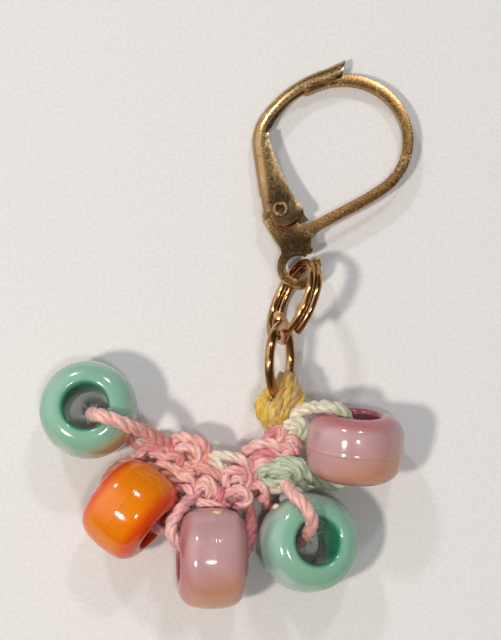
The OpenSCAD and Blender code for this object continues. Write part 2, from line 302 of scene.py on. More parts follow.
def dress_metal(tree: bpy.types.NodeTree, shader: bpy.types.Node,
                colour: bpy.types.NodeSocket, height: bpy.types.NodeSocket,
                gloss: tuple[float, float], relief: float, depth_mm: float) -> None:
    """Wires a metal, whose fine relief also makes its gloss uneven.

    Args:
        tree: The material's node tree.
        shader: Its shader node.
        colour: The metal's colour.
        height: The relief, around 0.5.
        gloss: Roughness in the hollows and on the raised parts.
        relief: Strength of the bump.
        depth_mm: Depth of the bump.
    """
    rough = add_node(tree, "ShaderNodeMapRange", {
        "Value": height, "From Min": 0.3, "From Max": 0.7, "To Min": gloss[0], "To Max": gloss[1]})
    bump = add_node(tree, "ShaderNodeBump", {"Height": height, "Strength": relief,
                                             "Distance": depth_mm * MM})
    shader.inputs["Metallic"].default_value = 1.0
    tree.links.new(colour, shader.inputs["Base Color"])
    tree.links.new(rough.outputs[0], shader.inputs["Roughness"])
    tree.links.new(bump.outputs[0], shader.inputs["Normal"])


@dataclass(frozen=True)
class WornPlating:
    """Antique gold plating on stamped brass: tumbled, so it is dull and mottled in the flats and
    rubbed bright where it is touched. It gives the eye a warm brown metal with fine pits, and a
    dark patch of painted shade, which stands in for the shade and dark reflections in the recesses.
    The pits are drawn coarser than the real ones, which are too fine to show."""
    name: str
    dark: str
    middle: str
    bright: str
    # The colour of the painted shade, and where and how widely it darkens the metal
    painted_shade: str
    painted_shade_at: Point
    painted_shade_mm: float = 5.0
    roughness: float = 0.34
    pit_mm: float = 0.16
    mottle_mm: float = 2.381
    painted_shade_core_mm: float = 2.2
    ragged_mm: float = 2.0
    relief: float = 0.28

    def build(self) -> bpy.types.Material:
        """Builds the finish.

        Returns:
            The material.
        """
        material, tree, shader = start_material(self.name)
        place = add_node(tree, "ShaderNodeTexCoord").outputs["Object"]
        clouds = add_node(tree, "ShaderNodeTexNoise", {
            "Vector": place, "Scale": cells(self.mottle_mm), "Detail": 3.0, "Roughness": 0.55})
        # One cell of the noise holds more than one pit
        grain = add_node(tree, "ShaderNodeTexNoise", {
            "Vector": place, "Scale": cells(self.pit_mm / 0.7), "Detail": 3.0, "Roughness": 0.7})
        worn = add_node(tree, "ShaderNodeMath", {0: clouds.outputs["Fac"], 1: grain.outputs["Fac"]},
                        operation="MULTIPLY")
        metal = ramp(tree, worn.outputs[0], [(0.1, self.dark), (0.19, self.middle),
                                             (0.32, self.middle), (0.42, self.bright)])
        # Painted shade: the metal is darkened round one place, with a ragged edge
        colour = add_node(tree, "ShaderNodeMix", {
            "Factor": self.painted_shade_share(tree, place, clouds.outputs["Fac"]), "A": metal,
            "B": hex_colour(self.painted_shade)}, data_type="RGBA").outputs["Result"]
        dress_metal(tree, shader, colour, grain.outputs["Fac"],
                    gloss=(self.roughness - 0.06, self.roughness + 0.08), relief=self.relief,
                    depth_mm=0.03)
        return material

    def painted_shade_share(self, tree: bpy.types.NodeTree, place: bpy.types.NodeSocket,
                     clouds: bpy.types.NodeSocket) -> bpy.types.NodeSocket:
        """How much of the painted shade shows, which fades with a ragged edge round its middle.

        Args:
            tree: The material's node tree.
            place: The object coordinates.
            clouds: The noise that makes the edge ragged.

        Returns:
            The share, from 0 to 0.85.
        """
        far = add_node(tree, "ShaderNodeVectorMath", {
            0: place, 1: tuple(mm(self.painted_shade_at) - MIDDLE)}, operation="DISTANCE")
        rag = add_node(tree, "ShaderNodeMath", {0: clouds, 1: self.ragged_mm * MM},
                       operation="MULTIPLY")
        edge = add_node(tree, "ShaderNodeMath", {0: far.outputs["Value"], 1: rag.outputs[0]},
                        operation="ADD")
        return add_node(tree, "ShaderNodeMapRange", {
            "Value": edge.outputs[0], "From Min": self.painted_shade_mm * MM,
            "From Max": self.painted_shade_core_mm * MM, "To Max": 0.85},
            interpolation_type="SMOOTHSTEP").outputs[0]


@dataclass(frozen=True)
class BrightPlating:
    """Copper-gold plating on drawn wire: smooth from the die, so it mirrors its surroundings in
    long streaks, with faint draw lines along the wire."""
    name: str
    colour: str
    deep: str
    roughness: float = 0.14
    tarnish_mm: float = 2.381
    lines_per_mm: float = 0.6
    lines_around: float = 26.0

    def build(self) -> bpy.types.Material:
        """Builds the finish.

        Returns:
            The material.
        """
        material, tree, shader = start_material(self.name)
        uv = add_node(tree, "ShaderNodeUVMap", uv_map="UVMap")
        stretch = add_node(tree, "ShaderNodeMapping", {
            "Vector": uv.outputs[0], "Scale": (self.lines_per_mm, self.lines_around, 1.0)})
        lines = add_node(tree, "ShaderNodeTexNoise", {"Vector": stretch.outputs[0], "Scale": 1.0,
                                                      "Detail": 3.0})
        place = add_node(tree, "ShaderNodeTexCoord").outputs["Object"]
        tarnish = add_node(tree, "ShaderNodeTexNoise", {
            "Vector": place, "Scale": cells(self.tarnish_mm), "Detail": 3.0})
        colour = ramp(tree, tarnish.outputs["Fac"], [(0.35, self.deep), (0.62, self.colour)])
        dress_metal(tree, shader, colour, lines.outputs["Fac"],
                    gloss=(self.roughness - 0.04, self.roughness + 0.08), relief=0.1,
                    depth_mm=0.02)
        return material


@dataclass(frozen=True)
class PearlPlastic:
    """Moulded polystyrene with pearl pigment: a glossy skin over a milky body, in which the
    pigment's flow shows as soft clouds. Light in the milky body is painted in as colour: a tint
    on one side, a deeper colour at the thin rims and shade in the bore."""
    name: str
    body: str
    sheen: str
    # Painted light: the tint that light through the milky body gives one side
    painted_side_tint: str
    # Painted light: the deeper colour that the thin ends show
    painted_rim_tint: str
    # Painted shade inside the bore
    bore: str
    # How far towards one side the painted tint of light through the body starts and is full
    painted_side_tint_mm: tuple[float, float] = (0.8, 4.6)
    # How far from the bead's middle the painted light at the rims starts and is full
    painted_rim_tint_mm: tuple[float, float] = (1.7, 3.1)
    # How far from the bore's middle the painted shade in the bore starts and is full
    bore_shade_mm: tuple[float, float] = (2.5, 2.02)
    scatter_mm: float = 0.8
    scatter: float = 0.25
    roughness: float = 0.14
    coat: float = 0.25
    cloud_mm: float = 5.0
    ripple_mm: float = 1.1111

    def build(self, centre: Vector, axis: Vector, towards: Vector) -> bpy.types.Material:
        """Builds the finish for one bead, because the colours are laid along its bore.

        Args:
            centre: The bead's middle.
            axis: The direction of its bore.
            towards: The side on which the painted tint gathers.

        Returns:
            The material.
        """
        material, tree, shader = start_material(self.name)
        place = add_node(tree, "ShaderNodeTexCoord").outputs["Object"]
        local = add_node(tree, "ShaderNodeVectorMath", {0: place, 1: tuple(centre)},
                         operation="SUBTRACT").outputs[0]
        clouds = add_node(tree, "ShaderNodeTexNoise", {
            "Vector": local, "Scale": cells(self.cloud_mm), "Detail": 2.0, "Distortion": 0.8})
        side = add_node(tree, "ShaderNodeVectorMath", {0: local, 1: tuple(towards.normalized())},
                        operation="DOT_PRODUCT").outputs["Value"]
        depth = add_node(tree, "ShaderNodeVectorMath", {0: local, 1: tuple(axis)},
                         operation="DOT_PRODUCT").outputs["Value"]
        off_axis = add_node(tree, "ShaderNodeVectorMath", {
            0: add_node(tree, "ShaderNodeVectorMath", {0: local, 1: tuple(axis)},
                        operation="CROSS_PRODUCT").outputs[0]}, operation="LENGTH")
        end = add_node(tree, "ShaderNodeMath", {0: depth}, operation="ABSOLUTE").outputs[0]
        colour = None
        # The pearl pigment's clouds, then painted light: a tint on one side, a deeper rim, and
        # shade in the bore
        for value, (low, high), second in (
                (clouds.outputs["Fac"], (0.38, 0.66), self.sheen),
                (side, mm(self.painted_side_tint_mm), self.painted_side_tint),
                (end, mm(self.painted_rim_tint_mm), self.painted_rim_tint),
                (off_axis.outputs["Value"], mm(self.bore_shade_mm), self.bore)):
            share = add_node(tree, "ShaderNodeMapRange", {
                "Value": value, "From Min": low, "From Max": high},
                interpolation_type="SMOOTHSTEP").outputs[0]
            first = hex_colour(self.body) if colour is None else colour
            colour = add_node(tree, "ShaderNodeMix", {"Factor": share, "A": first,
                                                      "B": hex_colour(second)},
                              data_type="RGBA").outputs["Result"]
        skin = add_node(tree, "ShaderNodeTexNoise", {
            "Vector": place, "Scale": cells(self.ripple_mm), "Detail": 1.0})
        bump = add_node(tree, "ShaderNodeBump", {"Height": skin.outputs["Fac"],
                                                 "Strength": 0.12, "Distance": 0.05 * MM})
        tree.links.new(colour, shader.inputs["Base Color"])
        tree.links.new(bump.outputs[0], shader.inputs["Normal"])
        shader.inputs["Roughness"].default_value = self.roughness
        shader.inputs["IOR"].default_value = 1.55
        shader.inputs["Subsurface Weight"].default_value = self.scatter
        shader.inputs["Subsurface Radius"].default_value = (1.0, 0.8, 0.7)
        shader.inputs["Subsurface Scale"].default_value = self.scatter_mm * MM
        shader.inputs["Coat Weight"].default_value = self.coat
        shader.inputs["Coat Roughness"].default_value = 0.05
        return material


@dataclass(frozen=True)
class SnappedPlastic:
    """The rough stub of a moulding's gate: torn, not moulded, so it is pale and dull."""
    name: str
    colour: str
    pale: str = "#dec09a"
    crumb_mm: float = 0.2

    def build(self) -> bpy.types.Material:
        """Builds the finish.

        Returns:
            The material.
        """
        material, tree, shader = start_material(self.name)
        place = add_node(tree, "ShaderNodeTexCoord").outputs["Object"]
        rough = add_node(tree, "ShaderNodeTexNoise", {"Vector": place,
                                                      "Scale": cells(self.crumb_mm)})
        colour = ramp(tree, rough.outputs["Fac"], [(0.3, self.colour), (0.7, self.pale)])
        tree.links.new(colour, shader.inputs["Base Color"])
        shader.inputs["Roughness"].default_value = 0.55
        return material


@dataclass(frozen=True)
class PliedCotton:
    """Mercerised cotton, ring-spun and plied: each ply shows fine fibres along it, and its colour
    carries painted light and shade: the raised parts are pale and the hollows between plies are
    painted deep in shade. The fibres are drawn coarser than real ones, which are too fine to show."""
    name: str = "plied_cotton"
    roughness: float = 0.52
    fibres_per_mm: float = 1.4
    fibres_around: float = 7.0
    patch_mm: float = 1.1111

    def build(self) -> bpy.types.Material:
        """Builds the finish, which takes its dye, with painted light and shade, from the mesh's own
        colour attribute.

        Returns:
            The material.
        """
        material, tree, shader = start_material(self.name)
        dye_and_shading = add_node(tree, "ShaderNodeAttribute", attribute_name="dye_and_shading")
        uv = add_node(tree, "ShaderNodeUVMap", uv_map="UVMap")
        stretch = add_node(tree, "ShaderNodeMapping", {
            "Vector": uv.outputs[0], "Scale": (self.fibres_per_mm, self.fibres_around, 1.0)})
        fibres = add_node(tree, "ShaderNodeTexNoise", {
            "Vector": stretch.outputs[0], "Scale": 1.0, "Detail": 3.0, "Roughness": 0.6})
        place = add_node(tree, "ShaderNodeTexCoord").outputs["Object"]
        patches = add_node(tree, "ShaderNodeTexNoise", {
            "Vector": place, "Scale": cells(self.patch_mm), "Detail": 2.0})
        value, tone = (add_node(tree, "ShaderNodeMapRange", {
            "Value": noise.outputs["Fac"], "From Min": 0.3, "From Max": 0.7, "To Min": low,
            "To Max": high}) for noise, low, high in ((fibres, 0.66, 1.26), (patches, 0.9, 1.12)))
        colour = add_node(tree, "ShaderNodeHueSaturation", {
            "Color": dye_and_shading.outputs["Color"], "Value": value.outputs[0],
            "Saturation": tone.outputs[0]})
        bump = add_node(tree, "ShaderNodeBump", {"Height": fibres.outputs["Fac"],
                                                 "Strength": 0.8, "Distance": 0.07 * MM})
        tree.links.new(colour.outputs[0], shader.inputs["Base Color"])
        tree.links.new(bump.outputs[0], shader.inputs["Normal"])
        shader.inputs["Roughness"].default_value = self.roughness
        shader.inputs["Sheen Weight"].default_value = 0.35
        shader.inputs["Sheen Roughness"].default_value = 0.4
        shader.inputs["Subsurface Weight"].default_value = 0.15
        shader.inputs["Subsurface Radius"].default_value = (1.0, 0.5, 0.4)
        shader.inputs["Subsurface Scale"].default_value = 0.3 * MM
        return material


@dataclass(frozen=True)
class CottonFibre:
    """Single cotton fibres that the spinning left loose: so fine that light passes through
    them, which reads as a pale haze over the yarn."""
    name: str = "loose_cotton_fibre"
    patch_mm: float = 0.8333

    def build(self) -> bpy.types.Material:
        """Builds the finish, which takes its dye, made paler as painted light, from the mesh's own
        colour attribute.

        Returns:
            The material.
        """
        material, tree, shader = start_material(self.name)
        dye_and_shading = add_node(tree, "ShaderNodeAttribute", attribute_name="dye_and_shading")
        place = add_node(tree, "ShaderNodeTexCoord").outputs["Object"]
        patches = add_node(tree, "ShaderNodeTexNoise", {"Vector": place,
                                                        "Scale": cells(self.patch_mm)})
        value = add_node(tree, "ShaderNodeMapRange", {"Value": patches.outputs["Fac"],
                                                      "To Min": 0.9, "To Max": 1.1})
        colour = add_node(tree, "ShaderNodeHueSaturation", {"Color": dye_and_shading.outputs["Color"],
                                                            "Value": value.outputs[0]})
        tree.links.new(colour.outputs[0], shader.inputs["Base Color"])
        shader.inputs["Roughness"].default_value = 0.7
        shader.inputs["Subsurface Weight"].default_value = 1.0
        shader.inputs["Subsurface Radius"].default_value = (1.0, 0.8, 0.7)
        shader.inputs["Subsurface Scale"].default_value = 0.2 * MM
        return material


@dataclass(frozen=True)
class PaleCard:
    """Matt pale card for the floor, with a barely uneven tone."""
    name: str = "pale_card_floor"
    grain_mm: float = 0.3333

    def build(self) -> bpy.types.Material:
        """Builds the finish.

        Returns:
            The material.
        """
        material, tree, shader = start_material(self.name)
        place = add_node(tree, "ShaderNodeTexCoord").outputs["Object"]
        paper = add_node(tree, "ShaderNodeTexNoise", {"Vector": place,
                                                      "Scale": cells(self.grain_mm)})
        colour = ramp(tree, paper.outputs["Fac"], [(0.3, "#dcdad6"), (0.7, "#e4e2de")])
        tree.links.new(colour, shader.inputs["Base Color"])
        shader.inputs["Roughness"].default_value = 0.9
        shader.inputs["Specular IOR Level"].default_value = 0.1
        return material


# The hook and its lever

@dataclass
class LeverBackHook:
    """The stamped hook, its folded lever and the tubular rivet."""
    frame_bevel_mm: float = 0.08
    sheet_bevel_mm: float = 0.05
    rivet_bevel_mm: float = 0.03
    # Where the lever's finger tab starts, and how it is drawn out
    tip_at: tuple[float, float] = (11.2, 24.9)
    tip_direction: tuple[float, float] = (0.94, 0.34)
    flare_length_mm: float = 1.6
    flare_slant: float = 0.9
    flare_back_mm: float = 0.72
    flare_rise: float = 0.3
    # Painted shade darkens the stamped piece over its recessed plate, and the lever over its low
    # cheek
    stamped: WornPlating = WornPlating(
        "antique_gold_stamped", dark="#4a3520", middle="#a07a4a", bright="#dcbc88",
        painted_shade="#4c3824", painted_shade_at=(6.3, 8.4, 4.0), painted_shade_mm=4.6, roughness=0.27)
    folded: WornPlating = WornPlating(
        "antique_gold_folded", dark="#4c3822", middle="#ae8c5e", bright="#e8d2a4",
        painted_shade="#4a3826", painted_shade_at=(5.4, 12.4, 5.0), painted_shade_mm=5.2, roughness=0.25, pit_mm=0.2)
    # The rivet's head is rubbed bright: its painted shade lies far off, so none of it shows
    riveted: WornPlating = WornPlating(
        "antique_gold_rivet", dark="#4c3822", middle="#b08e60", bright="#ead6a8",
        painted_shade="#4a3826", painted_shade_at=(30.0, 0.0, 0.0), painted_shade_mm=3.0, roughness=0.24, pit_mm=0.2)

    def flare_tip(self, bm: bmesh.types.BMesh) -> None:
        """Draws the lever's end out to the slanted finger tab.

        Args:
            bm: The lever in the row frame, in metres.
        """
        forward = Vector((*self.tip_direction, 0))
        outward = Vector((-forward.y, forward.x, 0))
        tip = mm((*self.tip_at, 0)) - MIDDLE
        for vert in bm.verts:
            offset = vert.co - tip
            along, across = offset.dot(forward), offset.dot(outward)
            share = max(0.0, min(1.0, 1 + along / (self.flare_length_mm * MM))) ** 2
            if offset.length < 2 * self.flare_length_mm * MM:
                reach = across * self.flare_slant - self.flare_back_mm * MM
                vert.co += share * reach * forward
                vert.co += share * max(0.0, across) * self.flare_rise * outward

    def softened(self, node: str, width_mm: float, material: bpy.types.Material,
                 limit: float = 32.0) -> bpy.types.Object:
        """Makes a copy of a CAD node with its stamped edges rounded over.

        Args:
            node: The CAD node.
            width_mm: Width of the rounding.
            material: The finish.
            limit: Edges that turn less than this angle, in degrees, stay as they are.

        Returns:
            The new piece.
        """
        bm = bmesh.new()
        bm.from_mesh(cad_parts[node].data)
        bmesh.ops.remove_doubles(bm, verts=bm.verts, dist=TOUCHING)
        bmesh.ops.dissolve_limit(bm, angle_limit=math.radians(FLAT_DEGREES), verts=bm.verts,
                                 edges=bm.edges)
        edges = [e for e in bm.edges if len(e.link_faces) == 2
                 and e.calc_face_angle(0) > math.radians(limit)]
        bmesh.ops.bevel(bm, geom=edges, offset=width_mm * MM, offset_type="OFFSET",
                        affect="EDGES", segments=3, profile=0.5, material=-1, clamp_overlap=True)
        bmesh.ops.triangulate(bm, faces=[f for f in bm.faces if len(f.verts) > 4])
        if node == "lever":
            self.flare_tip(bm)
        return finish_piece(node + "_dressed", [bm], material, sharp=35.0)

    def build(self) -> None:
        """Makes and dresses the three pieces."""
        for node, width, finish, body, slot in (
                ("hook_frame", self.frame_bevel_mm, self.stamped, "hook", "hook_brass"),
                ("lever", self.sheet_bevel_mm, self.folded, "lever", "lever_brass"),
                ("pivot_rivet", self.rivet_bevel_mm, self.riveted, "hook", "rivet_brass")):
            piece = self.softened(node, width, finish.build())
            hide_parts(node)
            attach(piece, body)


# The wire rings

@dataclass
class WireRing:
    """A ring of round wire that lies in its own plane. Its sizes are in millimetres, and its
    plane is turned by tilt about X and then by flat about Z, in degrees."""
    name: str
    at: Point
    flat: float
    tilt: float
    outer: float
    wire: float
    sides: int = 18
    end_bevel_mm: float = 0.06

    def pose(self) -> Matrix:
        """The ring's plane in the row frame, in metres."""
        return (Matrix.Translation(mm(self.at) - MIDDLE)
                @ Matrix.Rotation(math.radians(self.flat), 4, "Z")
                @ Matrix.Rotation(math.radians(self.tilt), 4, "X"))

    def wire_points(self) -> list[Vector]:
        """The middle line of the wire, in millimetres in the ring's plane."""
        raise NotImplementedError

    def round_point(self, angle: float, radius: float, height: float) -> Vector:
        """A point at an angle in degrees round the ring's middle."""
        turn = math.radians(angle)
        return Vector((radius * math.cos(turn), radius * math.sin(turn), height))

    def build(self, material: bpy.types.Material) -> None:
        """Sweeps the wire and rounds its cut ends.

        Args:
            material: The finish.
        """
        path = [self.pose() @ mm(p) for p in self.wire_points()]
        frames = carried_frames(path)
        bm = sweep(frames, [(self.wire / 2 * MM,) * 2] * len(path), self.sides)
        ends = [e for f in bm.faces if len(f.verts) > 4 for e in f.edges]
        bmesh.ops.bevel(bm, geom=ends, offset=self.end_bevel_mm * MM, offset_type="OFFSET",
                        affect="EDGES", segments=2, profile=0.5, material=-1)
        piece = finish_piece(self.name + "_wire", [bm], material, sharp=50.0)
        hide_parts(self.name)
        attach(piece, self.name)


@dataclass
class SplitRing(WireRing):
    """Two turns of wire side by side, with a jog where both cut ends lie."""
    jog: float = 164.0
    jog_half: float = 25.0
    end_gap: float = 3.0
    between: float = 0.04
    parts: int = 300

    def wire_points(self) -> list[Vector]:
        """Runs two turns of wire, which pass from one side to the other at the jog.

        Returns:
            The middle line, in millimetres in the ring's plane.
        """
        radius, pitch = (self.outer - self.wire) / 2, self.wire + self.between
        start = self.jog + self.jog_half + self.end_gap
        span = 2 * FULL_TURN - 2 * (self.jog_half + self.end_gap)
        points = []
        for i in range(self.parts + 1):
            angle = start + span * i / self.parts
            t = max(-1.0, min(1.0, (angle - self.jog - FULL_TURN) / self.jog_half))
            points.append(self.round_point(angle, radius, pitch / 2 * t * (3 - t * t) / 2))
        return points


@dataclass
class JumpRing(WireRing):
    """One turn of wire, whose ends pass each other."""
    start: float = -4.0
    end: float = 366.0
    # How far the second end stands outwards and sideways, over the last degrees of the turn
    spread: tuple[float, float] = (0.88, -0.42)
    spread_turn: float = 75.0
    parts: int = 160

    def wire_points(self) -> list[Vector]:
        """Runs one turn of wire, whose last part is bent aside.

        Returns:
            The middle line, in millimetres in the ring's plane.
        """
        points = []
        for i in range(self.parts + 1):
            angle = self.start + (self.end - self.start) * i / self.parts
            s = max(0.0, (angle - self.end + self.spread_turn) / self.spread_turn)
            s = s * s * (3 - 2 * s)
            radius = (self.outer - self.wire) / 2 + s * self.spread[0]
            points.append(self.round_point(angle, radius, s * self.spread[1]))
        return points


# The beads

@dataclass
class PonyBead:
    """A barrel-shaped moulded bead with rounded ends and a round bore. Its sizes are in
    millimetres, and towards is the side on which its painted tint of light through the body
    gathers."""
    name: str
    at: Point
    turn: Point
    finish: PearlPlastic
    towards: Point
    slot: str
    outer: float = 8.8
    length: float = 6.0
    bore: float = 4.0
    barrel: float = 9.0
    corner: float = 1.8
    # How far the mould's parting line stands out, and half its width
    parting: float = 0.02
    parting_half: float = 0.09
    steps: int = 96
    corner_steps: int = 10
    barrel_steps: int = 8
    # The angle round the bore at which the gate's stub stands, and its place along the bore
    gate: float | None = None
    gate_along: float = 0.0
    gate_colour: str = "#c89a68"
    gate_half_mm: Point = (0.26, 0.36, 0.58)
    gate_rough: tuple[float, float] = (-0.25, 0.2)
    gate_seed: int = 7

    def pose(self) -> Matrix:
        """The bead's place in the row frame, in metres, with the bore along Z."""
        x, y, z = (math.radians(a) for a in self.turn)
        return (Matrix.Translation(mm(self.at) - MIDDLE) @ Matrix.Rotation(z, 4, "Z")
                @ Matrix.Rotation(y, 4, "Y") @ Matrix.Rotation(x, 4, "X"))

    def profile(self) -> list[Vector]:
        """Draws the bead's cut face as arcs that meet smoothly.

        Returns:
            Its points, anticlockwise from the bore, in metres.
        """
        half, inner = self.length / 2, self.barrel - self.corner
        lean = math.asin((half - self.corner) / inner)
        crest = self.outer / 2 - self.barrel + inner * math.cos(lean)
        fillet = crest - self.bore / 2
        flash, middle = self.parting_half / self.barrel, (self.outer / 2 - self.barrel, 0)
        fine, broad = self.corner_steps, self.barrel_steps
        arcs = [((crest, half - fillet), fillet, math.pi, math.pi / 2, fine),
                ((crest, half - self.corner), self.corner, math.pi / 2, lean, fine),
                (middle, self.barrel, lean, flash, broad),
                (middle, self.barrel + self.parting, 0, 0, 0),
                (middle, self.barrel, -flash, -lean, broad),
                ((crest, self.corner - half), self.corner, -lean, -math.pi / 2, fine),
                ((crest, fillet - half), fillet, -math.pi / 2, -math.pi, fine)]
        points: list[Vector] = []
        for (cx, cz), radius, start, stop, steps in arcs:
            for i in range(steps + 1):
                a = start + (stop - start) * i / max(1, steps)
                p = Vector((cx + radius * math.cos(a), 0.0, cz + radius * math.sin(a))) * MM
                if not points or (p - points[-1]).length > TOUCHING / 2:
                    points.append(p)
        return points

    def build(self) -> None:
        """Spins the bead, adds the gate mark and dresses it."""
        bm = bmesh.new()
        verts = [bm.verts.new(p) for p in self.profile()]
        edges = [bm.edges.new(pair) for pair in zip(verts, verts[1:] + verts[:1])]
        bmesh.ops.spin(bm, geom=verts + edges, cent=(0, 0, 0), axis=(0, 0, 1), dvec=(0, 0, 0),
                       angle=math.tau, steps=self.steps, use_merge=True, use_duplicate=False)
        bmesh.ops.remove_doubles(bm, verts=bm.verts, dist=SPIN_TOUCHING)
        bmesh.ops.recalc_face_normals(bm, faces=bm.faces)
        bm.transform(self.pose())
        axis = self.pose().to_3x3() @ Vector((0, 0, 1))
        finish = self.finish.build(mm(self.at) - MIDDLE, axis, Vector(self.towards))
        piece = finish_piece(self.name + "_moulded", [bm], finish, sharp=60.0)
        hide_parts(self.name)
        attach(piece, self.name.replace("bead_", ""))
        if self.gate is not None:
            self.build_gate(self.gate)

    def build_gate(self, angle: float) -> None:
        """Makes and dresses the stub that is left where the bead was snapped off its sprue.

        Args:
            angle: Where it stands round the bore, in degrees.
        """
        bm = bmesh.new()
        bmesh.ops.create_icosphere(bm, subdivisions=2, radius=1.0)
        rng = random.Random(self.gate_seed)
        for vert in bm.verts:
            vert.co *= 1 + rng.uniform(*self.gate_rough)
        bm.transform(self.pose() @ Matrix.Rotation(math.radians(angle), 4, "Z")
                     @ Matrix.Translation(mm((self.outer / 2, 0, self.gate_along)))
                     @ Matrix.Diagonal((*mm(self.gate_half_mm), 1.0)))
        finish = SnappedPlastic(self.name + "_gate_stub", self.gate_colour).build()
        piece = finish_piece(self.name + "_gate", [bm], finish, sharp=70.0)
        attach(piece, self.name.replace("bead_", ""))


# In each plastic the last three colours are painted: a tint on one side, a deeper rim, and shade in
# the bore
MINT = PearlPlastic("pearl_mint", body="#8eb2a0", sheen="#b0c4b6", painted_side_tint="#bca868",
                    painted_rim_tint="#86b49a", bore="#2f8a66", painted_side_tint_mm=(2.5, 4.5), scatter_mm=1.6,
                    scatter=0.4)
LILAC = PearlPlastic("pearl_lilac", body="#be9496", sheen="#caa2a2", painted_side_tint="#c88c66",
                     painted_rim_tint="#b4686a", bore="#9c565e", painted_side_tint_mm=(-0.8, 3.6), scatter_mm=1.2,
                     scatter=0.35)
ORANGE = PearlPlastic("moulded_orange", body="#e47a00", sheen="#e68602", painted_side_tint="#e46000",
                      painted_rim_tint="#e24600", bore="#b83000", painted_side_tint_mm=(0.5, 4.4), painted_rim_tint_mm=(1.5, 2.7),
                      scatter_mm=1.2, scatter=0.3, roughness=0.12, coat=0.0)
BEADS = (
    PonyBead("bead_mint_left", (-12.4, -7.07, 4.14), (-3.5, -1, 0), MINT, (0.6, -0.8, 0),
             "mint_plastic"),
    PonyBead("bead_orange", (-8.52, -16, 4.5), (0, 82, -39), ORANGE, (0.3, -0.9, -0.3),
             "orange_plastic", outer=8.6),
    PonyBead("bead_lilac_low", (-1.22, -20.35, 4.6), (0, 97, 0), LILAC, (0.3, -1, -0.2),
             "lilac_plastic", outer=8.95, gate=115, gate_along=0.4),
    PonyBead("bead_mint_right", (7.4, -19, 4.15), (0, 17, 8), replace(MINT, painted_side_tint="#93bd8c"),
             (0.6, -0.8, 0), "mint_plastic", gate=125, gate_colour="#d8dccb"),
    PonyBead("bead_lilac_right", (11.62, -10.35, 4.8), (-73, 0, -4), LILAC, (0.3, -1, -0.2),
             "lilac_plastic", parting=0.05),
)


# The yarn

class DyeAndShading(Enum):
    """The colours that the yarn changes between: the letter that stands for each, the colour of its
    raised side and the painted shade in its hollows between the plies."""
    ROSE = ("P", "#d88488", "#c05468")
    PALE_ROSE = ("L", "#eebcb2", "#ca6874")
    SALMON = ("S", "#e09a8a", "#bc525c")
    CREAM = ("C", "#e2d6be", "#ac9478")
    MINT = ("M", "#bac4a6", "#848e6e")
    YELLOW = ("Y", "#dcb658", "#a07a34")
    OCHRE = ("O", "#bc9856", "#7a5a2c")
    # Painted shade: a deep rose laid in the band's crevices
    DEEP_ROSE_CREVICE_SHADE = ("D", "#c25c78", "#842648")

    @classmethod
    def of(cls, letter: str) -> "DyeAndShading":
        """The dye that a letter stands for."""
        return next(dye_and_shading for dye_and_shading in cls if dye_and_shading.value[0] == letter)

    @property
    def outer(self) -> tuple[float, ...]:
        """The linear colour of the raised side."""
        return hex_colour(self.value[1])

    @property
    def hollow_shade(self) -> tuple[float, ...]:
        """The linear colour of the painted shade between the plies."""
        return hex_colour(self.value[2])


